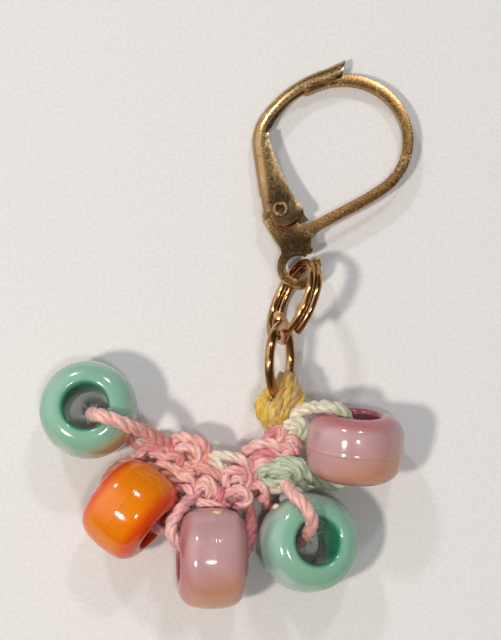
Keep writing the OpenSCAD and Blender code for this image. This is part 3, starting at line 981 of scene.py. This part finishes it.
@dataclass
class PliedYarn:
    """A length of cotton yarn, whose plies are twisted round its middle line. Its dyes are
    letters, which follow each other along it."""
    dyes: str
    width: float
    route: Sequence[Point]
    plies: int = 3
    twist_mm: float = 3.3
    step_mm: float = 0.17
    sides: int = 9
    wander_mm: float = 0.0
    # Shares of the width: how far a ply's middle is from the yarn's, and a ply's half width
    spread: float = 0.21
    ply: float = 0.3
    # How much a ply's thickness changes, over how many points, and how rough it is
    swell: float = 0.1
    swell_points: int = 5
    hairy: float = 0.07
    # A ply's thickness at its end, and what each further point adds
    end_size: float = 0.55
    end_growth: float = 0.15
    # The raised side's share over the painted hollow shade halfway up a ply, and what half its
    # thickness more adds
    light_middle: float = 0.45
    light_growth: float = 0.8

    def middle_line(self, rng: random.Random) -> list[Vector]:
        """The line that the plies turn round.

        Args:
            rng: Source of the small unevenness.

        Returns:
            Evenly spaced points in the row frame, in metres.
        """
        stray = self.wander_mm
        points = [mm(p) - MIDDLE + mm([rng.uniform(-stray, stray) for _ in range(3)])
                  for p in self.route]
        return smooth_route(points, self.step_mm * MM)

    def tint(self, share: float) -> tuple[tuple[float, ...], tuple[float, ...]]:
        """Blends the dyes that are nearest to a place.

        Args:
            share: The place along the yarn, from 0 to 1.

        Returns:
            The linear colours of the raised side and of the painted shade in the hollows.
        """
        dyes = [DyeAndShading.of(letter) for letter in self.dyes]
        if len(dyes) == 1:
            return dyes[0].outer, dyes[0].hollow_shade
        place = share * (len(dyes) - 1)
        k = min(int(place), len(dyes) - 2)
        return (mixed(dyes[k].outer, dyes[k + 1].outer, place - k),
                mixed(dyes[k].hollow_shade, dyes[k + 1].hollow_shade, place - k))

    def build(self, rng: random.Random) -> list[bmesh.types.BMesh]:
        """Sweeps each ply round the middle line.

        Args:
            rng: Source of the small unevenness.

        Returns:
            One bmesh for each ply.
        """
        path = self.middle_line(rng)
        frames = carried_frames(path)
        spread, ply = self.width * self.spread * MM, self.width * self.ply * MM
        lean, step = rng.uniform(0, math.tau), (path[1] - path[0]).length
        tints = [self.tint(i / (len(path) - 1)) for i in range(len(path))]
        meshes = []
        for number in range(self.plies):
            swell = [rng.uniform(1 - self.swell, 1 + self.swell)
                     for _ in range(len(path) // self.swell_points + 3)]
            centres, sizes = [], []
            for i, matrix in enumerate(frames):
                turn = lean + math.tau * (number / self.plies + i * step / (self.twist_mm * MM))
                centres.append(matrix @ (Vector((math.cos(turn), math.sin(turn), 0)) * spread))
                k, part = divmod(i / self.swell_points, 1)
                size = ply * (swell[int(k)] * (1 - part) + swell[int(k) + 1] * part)
                # The ends are drawn in, so that they pass under the next stitch
                size *= min(1.0, self.end_size + self.end_growth * min(i, len(path) - 1 - i))
                sizes.append((size, size))
            bm = sweep(carried_frames(centres), sizes, self.sides)
            dye_and_shading, ring = bm.verts.layers.float_color.new("dye_and_shading"), bm.verts.layers.int["ring"]
            for vert in bm.verts:
                i = vert[ring]
                # Painted shade: points low on a ply take the hollows' colour, raised points the
                # raised side's
                height = ((vert.co - path[i]).length - spread) / ply
                light = self.light_middle + self.light_growth * height
                vert[dye_and_shading] = mixed(tints[i][1], tints[i][0], max(0.0, min(1.0, light)))
                vert.co = centres[i].lerp(vert.co, 1 + rng.uniform(-self.hairy, self.hairy))
            meshes.append(bm)
        return meshes


@dataclass
class BandStretch:
    """A stretch of the crocheted band, which is named after the CAD node it dresses: a core,
    rows of stitches round it, and the stitches that show on its upper side."""
    node: str
    slot: str
    dyes: str
    route: Sequence[Point]
    widths: Sequence[float]
    stitches: Sequence[tuple[str, float, Sequence[Point]]]
    height: float = 4.2
    row_mm: float = 1.0
    column_mm: float = 2.0
    yarn_mm: float = 0.82
    # The number of strands, where the yarn is wrapped and not crocheted
    lengthwise: int = 0
    # How much taller than wide the stretch is at most
    headroom_mm: float = 0.4
    # Points to a stitch, how far it reaches past its row, how far it leans, and how uneven
    # the rows are: their start, their reach and the yarn's thickness
    stitch_points: int = 8
    reach: float = 0.78
    lean: float = 0.5
    start_range: tuple[float, float] = (-0.2, 0.2)
    reach_range: tuple[float, float] = (0.85, 1.15)
    yarn_range: tuple[float, float] = (0.93, 1.07)
    # How far a row draws in past an end of the stretch, and over how many frames
    draw_in: float = 0.3
    draw_in_frames: int = 8
    # How deep the yarn's middle lies under the surface, and how far it weaves in and out
    sink_mm: float = 0.14
    weave_mm: float = 0.2
    # The outline's share that the core fills, and the frames that it skips
    core_share: float = 0.76
    core_skip: int = 4
    core_sides: int = 16
    # The wrapped strands: how far out they lie along their length, as a share of the outline,
    # how far they lean and lie under the surface, their thickness and their dyes
    slim: tuple[float, ...] = (0.5, 0.8, 0.95, 1, 1, 1, 0.85)
    strand_lean: tuple[float, float] = (0.1, 0.7)
    strand_sink_mm: float = 0.1
    strand_range: tuple[float, float] = (0.95, 1.15)
    strand_dyes: tuple[str, ...] = ("OYY", "YYO", "OYC")

    def spine(self) -> list[tuple[Matrix, float, float]]:
        """Runs frames along the middle of the stretch.

        Returns:
            The frames, each with half the height and half the width there, in metres.
        """
        path = smooth_route([mm(p) - MIDDLE for p in self.route], SPINE_STEP_MM * MM)
        frames = carried_frames(path, Vector((0, 0, 1)))
        out = []
        for i, matrix in enumerate(frames):
            place = i / (len(frames) - 1) * (len(self.widths) - 1)
            k = min(int(place), len(self.widths) - 2)
            width = self.widths[k] * (1 - place + k) + self.widths[k + 1] * (place - k)
            height = min(self.height, width + self.headroom_mm)
            out.append((matrix, height / 2 * MM, width / 2 * MM))
        return out

    def rows(self, rng: random.Random) -> list[PliedYarn]:
        """Knots interlocking rows of stitches round the stretch.

        Args:
            rng: Source of the small unevenness.

        Returns:
            The yarn of each row.
        """
        spine = self.spine()
        if self.lengthwise:
            return self.strands(spine, rng)
        count = max(1, round(len(spine) * SPINE_STEP_MM / self.row_mm))
        reach = self.row_mm / SPINE_STEP_MM * self.reach
        yarns = []
        for row in range(count):
            at = (row + 0.5) / count * (len(spine) - 1)
            _, up, across = spine[round(at)]
            around = math.tau * math.sqrt((up * up + across * across) / 2) / MM
            columns = max(3, round(around / self.column_mm))
            points = []
            shift = rng.uniform(*self.start_range)
            for k in range(columns * self.stitch_points + 1):
                u = math.tau * k / self.stitch_points
                turn = (u + shift + self.lean * math.sin(2 * u)) / columns + math.pi
                place = at + reach * math.cos(u) * rng.uniform(*self.reach_range)
                matrix, up, across = spine[max(0, min(len(spine) - 1, round(place)))]
                # Past an end of the stretch, the row goes on and draws in
                over = max(0.0, place - len(spine) + 1) + min(0.0, place)
                shrink = 1 - self.draw_in * min(1.0, abs(over) / self.draw_in_frames)
                deep = (self.yarn_mm / 2 + self.sink_mm + self.weave_mm * math.cos(2 * u)) * MM
                local = Vector((math.cos(turn) * (up * shrink - deep),
                                math.sin(turn) * (across * shrink - deep),
                                over * SPINE_STEP_MM * MM))
                points.append(tuple((matrix @ local + MIDDLE) / MM))
            near = self.dyes[round(row / max(1, count - 1) * (len(self.dyes) - 1))]
            yarns.append(PliedYarn(near + rng.choice(self.dyes) + near + rng.choice(self.dyes),
                                   self.yarn_mm * rng.uniform(*self.yarn_range), points,
                                   step_mm=0.21, sides=7, wander_mm=0.05))
        return yarns

    def strands(self, spine: Sequence[tuple[Matrix, float, float]],
                rng: random.Random) -> list[PliedYarn]:
        """Lays yarn along the stretch, where it is wrapped over the ring and not crocheted.

        Args:
            spine: The frames along its middle.
            rng: Source of the small unevenness.

        Returns:
            The strands, side by side round the stretch.
        """
        yarns = []
        last = len(self.slim) - 1
        inset = (self.yarn_mm / 2 + self.strand_sink_mm) * MM
        for number in range(self.lengthwise):
            points = []
            lean = rng.uniform(*self.strand_lean)
            for k, slim in enumerate(self.slim):
                matrix, up, across = spine[round(k / last * (len(spine) - 1))]
                turn = math.tau * number / self.lengthwise + lean * k / last
                local = slim * Vector((math.cos(turn) * (up - inset),
                                       math.sin(turn) * (across - inset), 0))
                points.append(tuple((matrix @ local + MIDDLE) / MM))
            yarns.append(PliedYarn(rng.choice(self.strand_dyes),
                                   self.yarn_mm * rng.uniform(*self.strand_range), points,
                                   wander_mm=0.08))
        return yarns

    def core(self) -> bmesh.types.BMesh:
        """Sweeps the shadowed yarn inside the stretch, which closes the gaps between stitches.

        Returns:
            The core as a bmesh.
        """
        spine = self.spine()[::self.core_skip]
        bm = sweep([s[0] for s in spine],
                   [(s[1] * self.core_share, s[2] * self.core_share) for s in spine],
                   self.core_sides)
        # Painted shade: the core takes the hollows' colour of its first dye
        dye_and_shading = bm.verts.layers.float_color.new("dye_and_shading")
        for vert in bm.verts:
            vert[dye_and_shading] = DyeAndShading.of(self.dyes[0]).hollow_shade
        return bm

    def build(self, cotton: bpy.types.Material, rng: random.Random) -> list[PliedYarn]:
        """Makes and dresses the stretch.

        Args:
            cotton: The finish.
            rng: Source of the small unevenness.

        Returns:
            The yarn on its upper side, for the fuzz.
        """
        top = [PliedYarn(dyes, width, route) for dyes, width, route in self.stitches]
        meshes = [self.core()]
        for yarn in self.rows(rng) + top:
            meshes += yarn.build(rng)
        piece = finish_piece(self.node + "_stitches", meshes, cotton, sharp=80.0)
        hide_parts(self.node)
        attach(piece, "band")
        return top


@dataclass
class BeadLoop:
    """The yarn that runs from the band through one bead and back."""
    bead: str
    yarn: PliedYarn

    def build(self, cotton: bpy.types.Material, rng: random.Random) -> None:
        """Makes and dresses the loop.

        Args:
            cotton: The finish.
            rng: Source of the small unevenness.
        """
        piece = finish_piece("loop_" + self.bead + "_plied", self.yarn.build(rng), cotton,
                             sharp=80.0)
        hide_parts("loop_" + self.bead)
        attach(piece, "band")


@dataclass
class YarnFuzz:
    """The fine fibre ends that stand out from the yarn."""
    per_mm: float = 20.0
    radius_mm: float = 0.02
    reach_mm: float = 1.2
    shortest: float = 0.25
    # Fibres that would stand up more steeply than this lie in the yarn and aren't drawn
    steepest: float = 0.45
    # Share of the yarn's width at which they start, and how far each part bends
    root: float = 0.42
    bend: float = 0.4
    # How much they head away from the yarn, and how much shorter most of them are
    outwards: tuple[float, float] = (0.1, 1.0)
    shortness: float = 1.5
    # Painted light: the fibres are made paler than their yarn, for the light that passes through
    # them
    pale: str = "#fbf2ec"
    painted_glow_share: float = 0.35
    step_mm: float = 0.2
    taper: tuple[float, ...] = (1, 1, 0.95, 0.85, 0.7, 0.4)

    def course(self, start: Vector, out: Vector, rng: random.Random) -> list[Vector]:
        """Lets one fibre wander away from the yarn.

        Args:
            start: Where it leaves the yarn.
            out: The direction away from the yarn.
            rng: Source of its shape.

        Returns:
            The points that it passes, in metres.
        """
        parts = len(self.taper) - 1
        drift = Vector([rng.gauss(0, 1) for _ in range(3)]).normalized()
        length = self.reach_mm * MM * rng.uniform(self.shortest, 1.0) ** self.shortness
        heading = (rng.uniform(*self.outwards) * out + drift).normalized()
        points = [start]
        for _ in range(parts):
            stray = Vector([rng.gauss(0, 1) for _ in range(3)])
            heading = (heading + self.bend * stray).normalized()
            points.append(points[-1] + heading * length / parts)
        return points

    def build(self, yarns: Sequence[PliedYarn], fibre: bpy.types.Material,
              rng: random.Random) -> None:
        """Grows short curved fibres from the yarn's surface.

        Args:
            yarns: The yarn that shows.
            fibre: The finish.
            rng: Source of places and shapes.
        """
        meshes = []
        for yarn in yarns:
            path = smooth_route([mm(p) - MIDDLE for p in yarn.route], self.step_mm * MM)
            frames = carried_frames(path)
            for _ in range(round(len(path) * self.step_mm * self.per_mm)):
                i = rng.randrange(len(path))
                turn = rng.uniform(0, math.tau)
                out = frames[i].to_3x3() @ Vector((math.cos(turn), math.sin(turn), 0))
                if out.z > self.steepest:
                    continue
                points = self.course(path[i] + out * yarn.width * self.root * MM, out, rng)
                if min(p.z for p in points) < FLOOR_GAP_MM * MM:
                    continue
                size = self.radius_mm * MM
                bm = sweep(carried_frames(points), [(size * s, size * s) for s in self.taper], 3)
                dye_and_shading = bm.verts.layers.float_color.new("dye_and_shading")
                # Painted light: the fibre takes its yarn's raised colour, made paler
                tint = mixed(yarn.tint(i / len(path))[0], hex_colour(self.pale), self.painted_glow_share)
                for vert in bm.verts:
                    vert[dye_and_shading] = tint
                meshes.append(bm)
        piece = finish_piece("yarn_fuzz", meshes, fibre, sharp=180.0)
        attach(piece, "band")


# Stitches that show on the band's upper side: dyes along the yarn, its width and its route
LEFT_STITCHES = (
    ("PPS", 0.95, ((-5.3, -10.1, 4.2), (-4.6, -10.7, 4.2), (-4.1, -11.4, 4))),
    ("SLSS", 1, ((-4.8, -10.5, 3.6), (-4.7, -9.8, 4.1), (-4, -9.5, 4.4), (-2.2, -10, 4.5),
                 (-1.7, -10.7, 4.3), (-1.9, -11.6, 4), (-2.5, -12.1, 3.7))),
    ("LLS", 0.95, ((-4.6, -11.1, 3.9), (-4, -10.5, 4.4), (-3.2, -10.4, 4.6), (-2.6, -10.8, 4.6),
                   (-2.4, -11.6, 4.3), (-3.1, -12.1, 4))),
    ("LPL", 0.85, ((-7.7, -11.7, 3.4), (-7.7, -11, 3.9), (-7, -10.4, 4.3), (-5.5, -10.5, 4.3),
                   (-5.2, -11.1, 4), (-5.7, -11.7, 3.7))),
    ("LP", 0.85, ((-6.8, -11.1, 4), (-6.2, -11, 4.4), (-5.4, -11.3, 4.5), (-4.7, -11.2, 4.6),
                  (-4.1, -11.4, 4.4), (-4.3, -12.1, 4.1))),
    ("LS", 0.85, ((-7.3, -11.9, 3.7), (-6.5, -12.2, 4.1), (-5.6, -11.9, 4.3), (-4.1, -12.5, 4.2),
                  (-3.2, -12.5, 4))),
    ("SSL", 0.95, ((-6.9, -12.4, 3.2), (-5.9, -12.8, 3.7), (-5, -12.6, 4), (-4.2, -12.9, 4.1),
                   (-3.4, -12.9, 4.2), (-2.8, -12.6, 4.1))),
    ("SLP", 0.85, ((-5.5, -13.3, 3.3), (-4, -13.2, 4.2), (-3.1, -13.3, 4.3), (-2.8, -13.8, 4.1),
                   (-2.9, -14.4, 3.8))),
    ("PLP", 0.85, ((-4.6, -14.1, 3.4), (-3.9, -14, 4), (-3.3, -14.2, 4.3), (-3.1, -14.8, 4.2),
                   (-3.6, -15.2, 3.8), (-4.3, -15.3, 3.3))),
    ("SSP", 0.95, ((-2.6, -12.6, 4), (-2, -12.3, 4.4), (-0.7, -12.9, 4.4), (-0.4, -13.5, 4))),
)
MIDDLE_STITCHES = (
    ("SCS", 0.95, ((-1.7, -11.7, 4), (-0.5, -12, 4.6), (0.3, -13.1, 4))),
    ("PLLP", 0.85, ((-2.8, -14.9, 3.9), (-2.1, -13.5, 4.6), (-1.6, -13.4, 4.7), (-0.8, -14.4, 4.3),
                    (-1.1, -15.1, 3.9))),
    ("LL", 0.75, ((-2.2, -14.1, 4.3), (-1.8, -14, 4.5), (-1.5, -14.3, 4.5), (-1.6, -14.9, 4.1))),
    ("PLP", 0.95, ((-4.1, -15.4, 3), (-3.2, -15.2, 3.6), (-1.4, -15.5, 4), (0.4, -15.7, 3.6))),
    ("SCCLPP", 1, ((-1.9, -11.3, 3.8), (-0.3, -11.2, 4.8), (1.5, -11.6, 4.9), (2.6, -12.8, 4.3),
                   (2.5, -13.5, 3.9))),
    ("LLPL", 0.9, ((0.3, -14.1, 4), (0, -13.4, 4.4), (0.1, -12.7, 4.7), (0.9, -12.5, 4.9),
                   (1.7, -12.6, 4.8), (2.2, -13.3, 4.6), (2, -14.1, 4.3), (1.3, -14.4, 4.1))),
    ("LL", 0.75, ((0.6, -13.5, 4.5), (1, -13.2, 4.9), (1.5, -13.4, 4.8), (1.4, -13.9, 4.4))),
    ("PLLP", 0.9, ((-0.2, -15, 3.9), (0.3, -14.5, 4.4), (1, -14.2, 4.7), (1.8, -14.5, 4.7),
                   (2.1, -15.1, 4.3), (1.6, -15.6, 3.9), (0.7, -15.7, 3.6))),
    # The D is the deep rose painted in as crevice shade
    ("DP", 0.85, ((0, -14.1, 4.2), (-0.3, -14.7, 4.3), (-0.2, -15.5, 3.9))),
)
RIGHT_STITCHES = (
    ("PLP", 0.85, ((2.1, -14.1, 4.1), (2.8, -13.8, 4.5), (3.4, -14.1, 4.5), (3.6, -14.7, 4.1),
                   (3, -15.2, 3.7))),
    ("PLLP", 1, ((1.3, -11.3, 3.9), (2.6, -10.3, 4.8), (4.3, -10.1, 4.8), (4.8, -10.6, 4.5),
                 (4.7, -11.4, 4.1))),
    ("PPL", 0.95, ((1.9, -11.9, 4.2), (3.6, -10.9, 4.8), (5.2, -11.3, 4.4), (5.7, -11.7, 4))),
    ("PLP", 0.9, ((2.7, -13.7, 4.1), (2.6, -12.8, 4.4), (2.9, -12, 4.6), (3.6, -11.6, 4.7),
                  (4.2, -11.8, 4.5), (4.5, -12.3, 4.1))),
    ("PP", 0.85, ((3.2, -13.5, 4.2), (3.3, -12.6, 4.5), (3.7, -12, 4.6))),
)
NECK_STITCHES = (
    ("PPSL", 0.95, ((3.7, -10.5, 4.2), (3.8, -9.7, 4.5), (4.8, -8.5, 4.6), (5.3, -9, 4.5),
                    (5.4, -10.5, 4.1))),
    ("SLS", 0.85, ((4.5, -10.8, 4.3), (5, -9.4, 4.8), (4.8, -8.7, 4.6))),
    ("PLP", 0.9, ((4.8, -10.7, 4.6), (5.4, -10.3, 4.9), (6.1, -10.6, 4.6), (6.5, -11.1, 4.1))),
    ("LP", 0.85, ((4.9, -11.4, 4.5), (5.6, -11, 4.8), (6.2, -11.2, 4.4))),
    ("LP", 0.9, ((5.4, -10, 4.6), (6, -9.7, 4.8), (6.4, -10.1, 4.4), (6.5, -10.7, 3.9))),
    ("CC", 0.8, ((5.7, -9.4, 4.5), (6.1, -9.1, 4.6), (6.6, -9.3, 4.2))),
    ("CCMM", 0.95, ((5.2, -8.9, 4.3), (5.6, -8.3, 4.7), (6.4, -8, 4.9), (7.1, -8.4, 4.8),
                    (7, -9.8, 4))),
    ("CM", 0.85, ((5.7, -8.8, 4.7), (6.2, -8.6, 5), (6.7, -8.9, 4.8), (6.6, -9.6, 4.4))),
)
MINT_STITCHES = (
    ("MM", 1, ((3.2, -13.2, 4.3), (3.3, -12.6, 4.8), (4, -12.3, 5), (6.4, -12.1, 5),
               (7.8, -13.3, 4))),
    ("MM", 0.9, ((4.5, -12.1, 4.9), (5, -11.7, 5.2), (6.6, -11.8, 5), (7.1, -12.4, 4.6))),
    ("MM", 0.9, ((3.3, -13.3, 4.4), (4, -13.6, 4.7), (4.7, -13.5, 4.8), (5.9, -12.7, 5))),
    ("MM", 0.9, ((4, -12.9, 5), (4.6, -12.7, 5.3), (5.9, -12.4, 5.3), (6.5, -12.8, 5),
                 (6.7, -13.4, 4.5))),
    ("LCM", 0.9, ((3.7, -14, 4), (4.4, -14.2, 4.2), (5.1, -14, 4.4), (6.1, -13.2, 4.4))),
    ("MM", 0.85, ((5.4, -13.7, 4.2), (6.1, -13.5, 4.4), (6.8, -13.7, 4.2), (7.3, -14.1, 3.7))),
)
KNOT_STITCHES = (
    ("YYY", 1.05, ((5.1, -4.2, 4), (4.5, -4.9, 4.6), (3.1, -6.7, 5.1), (3.7, -8.2, 4.6),
                   (4.4, -8.5, 4.3))),
    ("YY", 1, ((3.8, -6.1, 4.9), (3.6, -6.8, 5.3), (3.8, -7.7, 5.2), (4.4, -8.2, 4.8))),
    ("YY", 1, ((4.4, -6.4, 5.2), (4.2, -7.2, 5.4), (4.4, -7.9, 5.1), (5, -8.2, 4.7))),
    ("OOY", 0.95, ((5, -3.8, 4.6), (5.1, -4.7, 5.1), (4.8, -6.6, 5.5), (5.1, -8.2, 4.6))),
    ("OYO", 0.95, ((5.6, -3.6, 4.5), (5.6, -5.5, 5.3), (5.4, -6.4, 5.4), (5.4, -8, 4.7))),
    ("OO", 0.95, ((6.1, -4, 4.2), (6.3, -5.6, 5), (6, -6.4, 5.2), (5.6, -7.1, 5))),
    ("OYC", 0.95, ((6.4, -4.9, 4), (6.7, -6.4, 4.7), (5.5, -7.3, 4.8))),
)


# The yarn's way through each bead
BEAD_LOOPS = (
    BeadLoop("mint_left", PliedYarn("PSLSPS", 1.3, (
        (-4.1, -10.6, 3.4), (-4.85, -10.2, 3.9), (-5.8, -9.8, 4.9), (-7, -9.2, 6.4),
        (-8.4, -8.75, 7.7), (-9.75, -8.2, 8.2), (-11, -7.8, 8), (-11.75, -7.6, 6.6),
        (-12.1, -7.5, 4.3), (-12.1, -7.5, 2.1), (-11.8, -7.8, 1.04), (-10.95, -8.29, 0.72),
        (-9.78, -9.04, 0.7), (-8.68, -9.61, 0.9), (-7.5, -10.3, 1.6), (-6.3, -10.8, 2.2)))),
    BeadLoop("orange", PliedYarn("LSPL", 1.0, (
        (-5.6, -11.2, 2.9), (-6.4, -10.9, 2.7), (-7.4, -11.05, 2.5), (-8.5, -11.4, 2.5),
        (-9.5, -11.9, 2.6), (-10.3, -12.6, 2.9), (-10.85, -13.4, 3.3), (-10.8, -14.1, 3.8),
        (-10.2, -14.8, 4.3), (-8.52, -16, 4.5), (-7.2, -17, 4.6), (-5.95, -17.75, 4.3),
        (-5.2, -17.85, 3.4), (-4.75, -17.5, 2.5), (-4.5, -17, 2), (-4.2, -16.4, 1.75),
        (-3.85, -15.7, 1.8), (-3.5, -14.9, 2.3)))),
    BeadLoop("lilac_low", PliedYarn("PLPPS", 1.1, (
        (-2.2, -14.2, 3.2), (-2.9, -14.9, 4), (-3.8, -15.8, 5.2), (-4.62, -17, 5.9),
        (-4.82, -18, 6.02), (-4.35, -18.9, 5.7), (-3.2, -19.7, 5.1), (-1.22, -20.35, 4.6),
        (0.3, -20.4, 4.3), (1.6, -20.1, 4.2), (2.08, -19.19, 3.9), (2.29, -18.09, 3.39),
        (2.3, -17, 3.1), (2.1, -15.9, 3.1), (1.5, -14.8, 2.9), (1, -14, 2.8)))),
    BeadLoop("mint_right", PliedYarn("LLSLP", 1.2, (
        (4.7, -12.3, 3), (5, -12.9, 3.6), (5.48, -13.85, 5.02), (6.08, -14.73, 6.85),
        (6.79, -15.46, 7.94), (7.4, -16.4, 8.2), (7.67, -17.23, 7.71), (7.42, -17.93, 6.51),
        (7.1, -18.4, 5), (6.8, -18.9, 3.4), (6.4, -19, 2), (5.8, -18.5, 1), (5, -17.5, 0.65),
        (4.2, -16.4, 0.7), (3.7, -15.2, 1.2), (3.4, -14, 2)))),
    BeadLoop("lilac_right", PliedYarn("CCMMMM", 1.15, (
        (4.4, -8.3, 4.3), (5.2, -7.9, 4.3), (6.2, -7.4, 4.7), (7.2, -7, 5.2),
        (8.07, -6.86, 5.93), (8.98, -6.93, 6.69), (10.13, -7.15, 6.81), (10.85, -7.92, 6.19),
        (11.1, -9, 5.5), (11.62, -10.35, 4.8), (11.5, -12.2, 4.1), (11.1, -13, 3.5),
        (10.4, -13.6, 2.8), (9.4, -13.8, 2.4), (8.4, -13.5, 2.5), (7.5, -13.1, 2.8),
        (6.8, -12.7, 3.1), (6, -12.4, 3.3)))),
)
# The stretches of the band, from its left end to the jump ring
BAND_STRETCHES = (
    BandStretch("band_left", "pink_cotton", "SPLS", (
        (-7.6, -10.3, 2.2), (-6.4, -10.7, 2.2), (-5, -11.5, 2.2), (-3.5, -12.4, 2.2),
        (-2.3, -13.1, 2.2)), (2.2, 3, 3.6, 4.4, 5.3), LEFT_STITCHES),
    # The D among its dyes is the deep rose painted in as crevice shade
    BandStretch("band_middle", "pink_cotton", "PPDLP", (
        (-2.3, -13.1, 2.2), (-1.2, -13.6, 2.2), (0.2, -13.7, 2.2), (1.4, -13.2, 2.2)),
        (5.3, 4.8, 4.5, 4.3), MIDDLE_STITCHES),
    BandStretch("band_right", "pink_cotton", "PLPP", (
        (1.4, -13.2, 2.2), (2.6, -12.6, 2.2), (3.6, -11.8, 2.3), (4.3, -10.9, 2.5)),
        (4.3, 4, 3.9, 3.6), RIGHT_STITCHES),
    BandStretch("yarn_neck", "pink_cotton", "LLSC", (
        (4.3, -10.9, 2.5), (4.8, -9.9, 2.8), (5, -9, 3.1), (5, -8.1, 3.3)),
        (3.4, 3.1, 3.1, 3.2), NECK_STITCHES),
    BandStretch("mint_stitches", "mint_cotton", "MM", (
        (3.6, -13.1, 3.4), (4.6, -12.9, 3.6), (5.8, -12.6, 3.6), (6.8, -12.5, 3.3)),
        (2.2, 3, 2.8, 2), MINT_STITCHES, height=2.4, row_mm=2.6),
    BandStretch("yarn_knot", "yellow_cotton", "OYY", (
        (5.3, -4.1, 4), (5, -5.2, 3.9), (4.9, -6.3, 3.7), (5, -7.3, 3.4), (5, -8.3, 3.3)),
        (1.4, 2.6, 3.9, 3.8, 3), KNOT_STITCHES, lengthwise=10),
)


@dataclass
class CrochetedBand:
    """The crocheted band with its loops through the beads, all of one cotton."""
    seed: int = 21

    def build(self) -> None:
        """Makes the loops, the stretches and, last, the fuzz on what shows of them."""
        rng = random.Random(self.seed)
        cotton = PliedCotton().build()
        shown = [loop.yarn for loop in BEAD_LOOPS]
        for loop in BEAD_LOOPS:
            loop.build(cotton, rng)
        for stretch in BAND_STRETCHES:
            shown += stretch.build(cotton, rng)
        YarnFuzz().build(shown, CottonFibre().build(), rng)


# The floor, the lights and the camera

@dataclass(frozen=True)
class Lamp:
    """A round lamp that is aimed at the object, in metres and watts."""
    name: str
    at: Point
    power: float
    tint: str
    size: float = 0.03

    def hang(self) -> None:
        """Adds the lamp to the scene."""
        light = bpy.data.lights.new(self.name, "AREA")
        light.shape = "DISK"
        light.size = self.size
        light.energy = self.power
        light.color = hex_colour(self.tint)[:3]
        holder = bpy.data.objects.new(self.name, light)
        holder.location = self.at
        holder.rotation_euler = (-Vector(self.at)).to_track_quat("-Z", "Y").to_euler()
        bpy.context.scene.collection.objects.link(holder)


@dataclass
class Studio:
    """A pale floor, a sky with one soft light in its reflections, four lamps and the camera."""
    lamps: tuple[Lamp, ...] = (
        Lamp("key", (-0.14, -0.08, 0.276), 0.52, "#fff6ec"),
        Lamp("front", (0.03, -0.064, 0.31), 0.18, "#ffffff"),
        Lamp("back_left", (-0.109, 0.211, 0.214), 0.2, "#f4f6ff"),
        Lamp("back_right", (0.067, 0.192, 0.246), 0.15, "#f4f6ff"))
    floor_half: float = 0.6
    sky: str = "#c9ccd2"
    sky_light: float = 0.35
    sky_seen: float = 0.75
    softbox_towards: Point = (-0.8, 0.3, 0.52)
    softbox_edge: float = 0.58
    softbox_light: tuple[float, float] = (0.12, 2.2)
    camera_at: Point = (0.001893, -0.018434, 0.15881)
    camera_tilt: float = 7.0
    camera_lens: float = 122.98

    def lay_floor(self) -> None:
        """Lays the pale card that the object lies on."""
        floor = bpy.data.meshes.new("floor")
        bm = bmesh.new()
        bmesh.ops.create_grid(bm, x_segments=1, y_segments=1, size=self.floor_half)
        bm.to_mesh(floor)
        bm.free()
        floor.materials.append(PaleCard().build())
        obj = bpy.data.objects.new("floor", floor)
        bpy.context.scene.collection.objects.link(obj)

    def light_sky(self) -> None:
        """Lights the world evenly, with a brighter part that only reflections show."""
        world = bpy.data.worlds.new("studio")
        world.use_nodes = True
        tree = world.node_tree
        rays = add_node(tree, "ShaderNodeLightPath").outputs
        seen = add_node(tree, "ShaderNodeMath", {
            0: add_node(tree, "ShaderNodeMath", {0: rays["Is Camera Ray"],
                                                 1: rays["Is Glossy Ray"]},
                        operation="MAXIMUM").outputs[0],
            1: rays["Is Transmission Ray"]}, operation="MAXIMUM")
        level = add_node(tree, "ShaderNodeMapRange", {
            "Value": seen.outputs[0], "To Min": self.sky_light, "To Max": self.sky_seen})
        towards = add_node(tree, "ShaderNodeVectorMath", {
            0: add_node(tree, "ShaderNodeTexCoord").outputs["Generated"],
            1: self.softbox_towards}, operation="DOT_PRODUCT")
        softbox = add_node(tree, "ShaderNodeMapRange", {
            "Value": towards.outputs["Value"], "From Min": self.softbox_edge, "From Max": 1.0,
            "To Min": self.softbox_light[0], "To Max": self.softbox_light[1]},
            interpolation_type="SMOOTHSTEP")
        strength = add_node(tree, "ShaderNodeMix", {
            "Factor": rays["Is Glossy Ray"], "A": level.outputs[0], "B": softbox.outputs[0]},
            data_type="FLOAT")
        background = tree.nodes["Background"]
        background.inputs["Color"].default_value = hex_colour(self.sky)
        tree.links.new(strength.outputs["Result"], background.inputs["Strength"])
        bpy.context.scene.world = world

    def set_camera(self) -> None:
        """Sets the camera at the photograph's viewing angle."""
        camera = bpy.data.cameras.new("camera")
        camera.sensor_fit = "HORIZONTAL"
        camera.sensor_width = 36.0
        camera.lens = self.camera_lens
        camera.clip_start = 0.01
        holder = bpy.data.objects.new("camera", camera)
        holder.location = self.camera_at
        holder.rotation_euler = (math.radians(self.camera_tilt), 0, 0)
        bpy.context.scene.collection.objects.link(holder)
        bpy.context.scene.camera = holder

    def build(self) -> None:
        """Sets the plain view and makes everything round the object."""
        bpy.context.scene.view_settings.view_transform = "Standard"
        self.lay_floor()
        self.light_sky()
        for lamp in self.lamps:
            lamp.hang()
        self.set_camera()


def main() -> None:
    """Builds the studio and then the object, from the hook down to the yarn."""
    Studio().build()
    LeverBackHook().build()
    wire = BrightPlating("copper_gold_wire", colour="#d2a06a", deep="#94683c").build()
    SplitRing("split_ring", (6.24, 2.8, 4.02), flat=69, tilt=111, outer=8.2,
              wire=0.7).build(wire)
    JumpRing("jump_ring", (4.95, -2.62, 4.27), flat=86, tilt=72, outer=7.3,
             wire=0.88).build(wire)
    for bead in BEADS:
        bead.build()
    CrochetedBand().build()


if __name__ == "__main__":
    logging.basicConfig(level=logging.INFO)
    main()
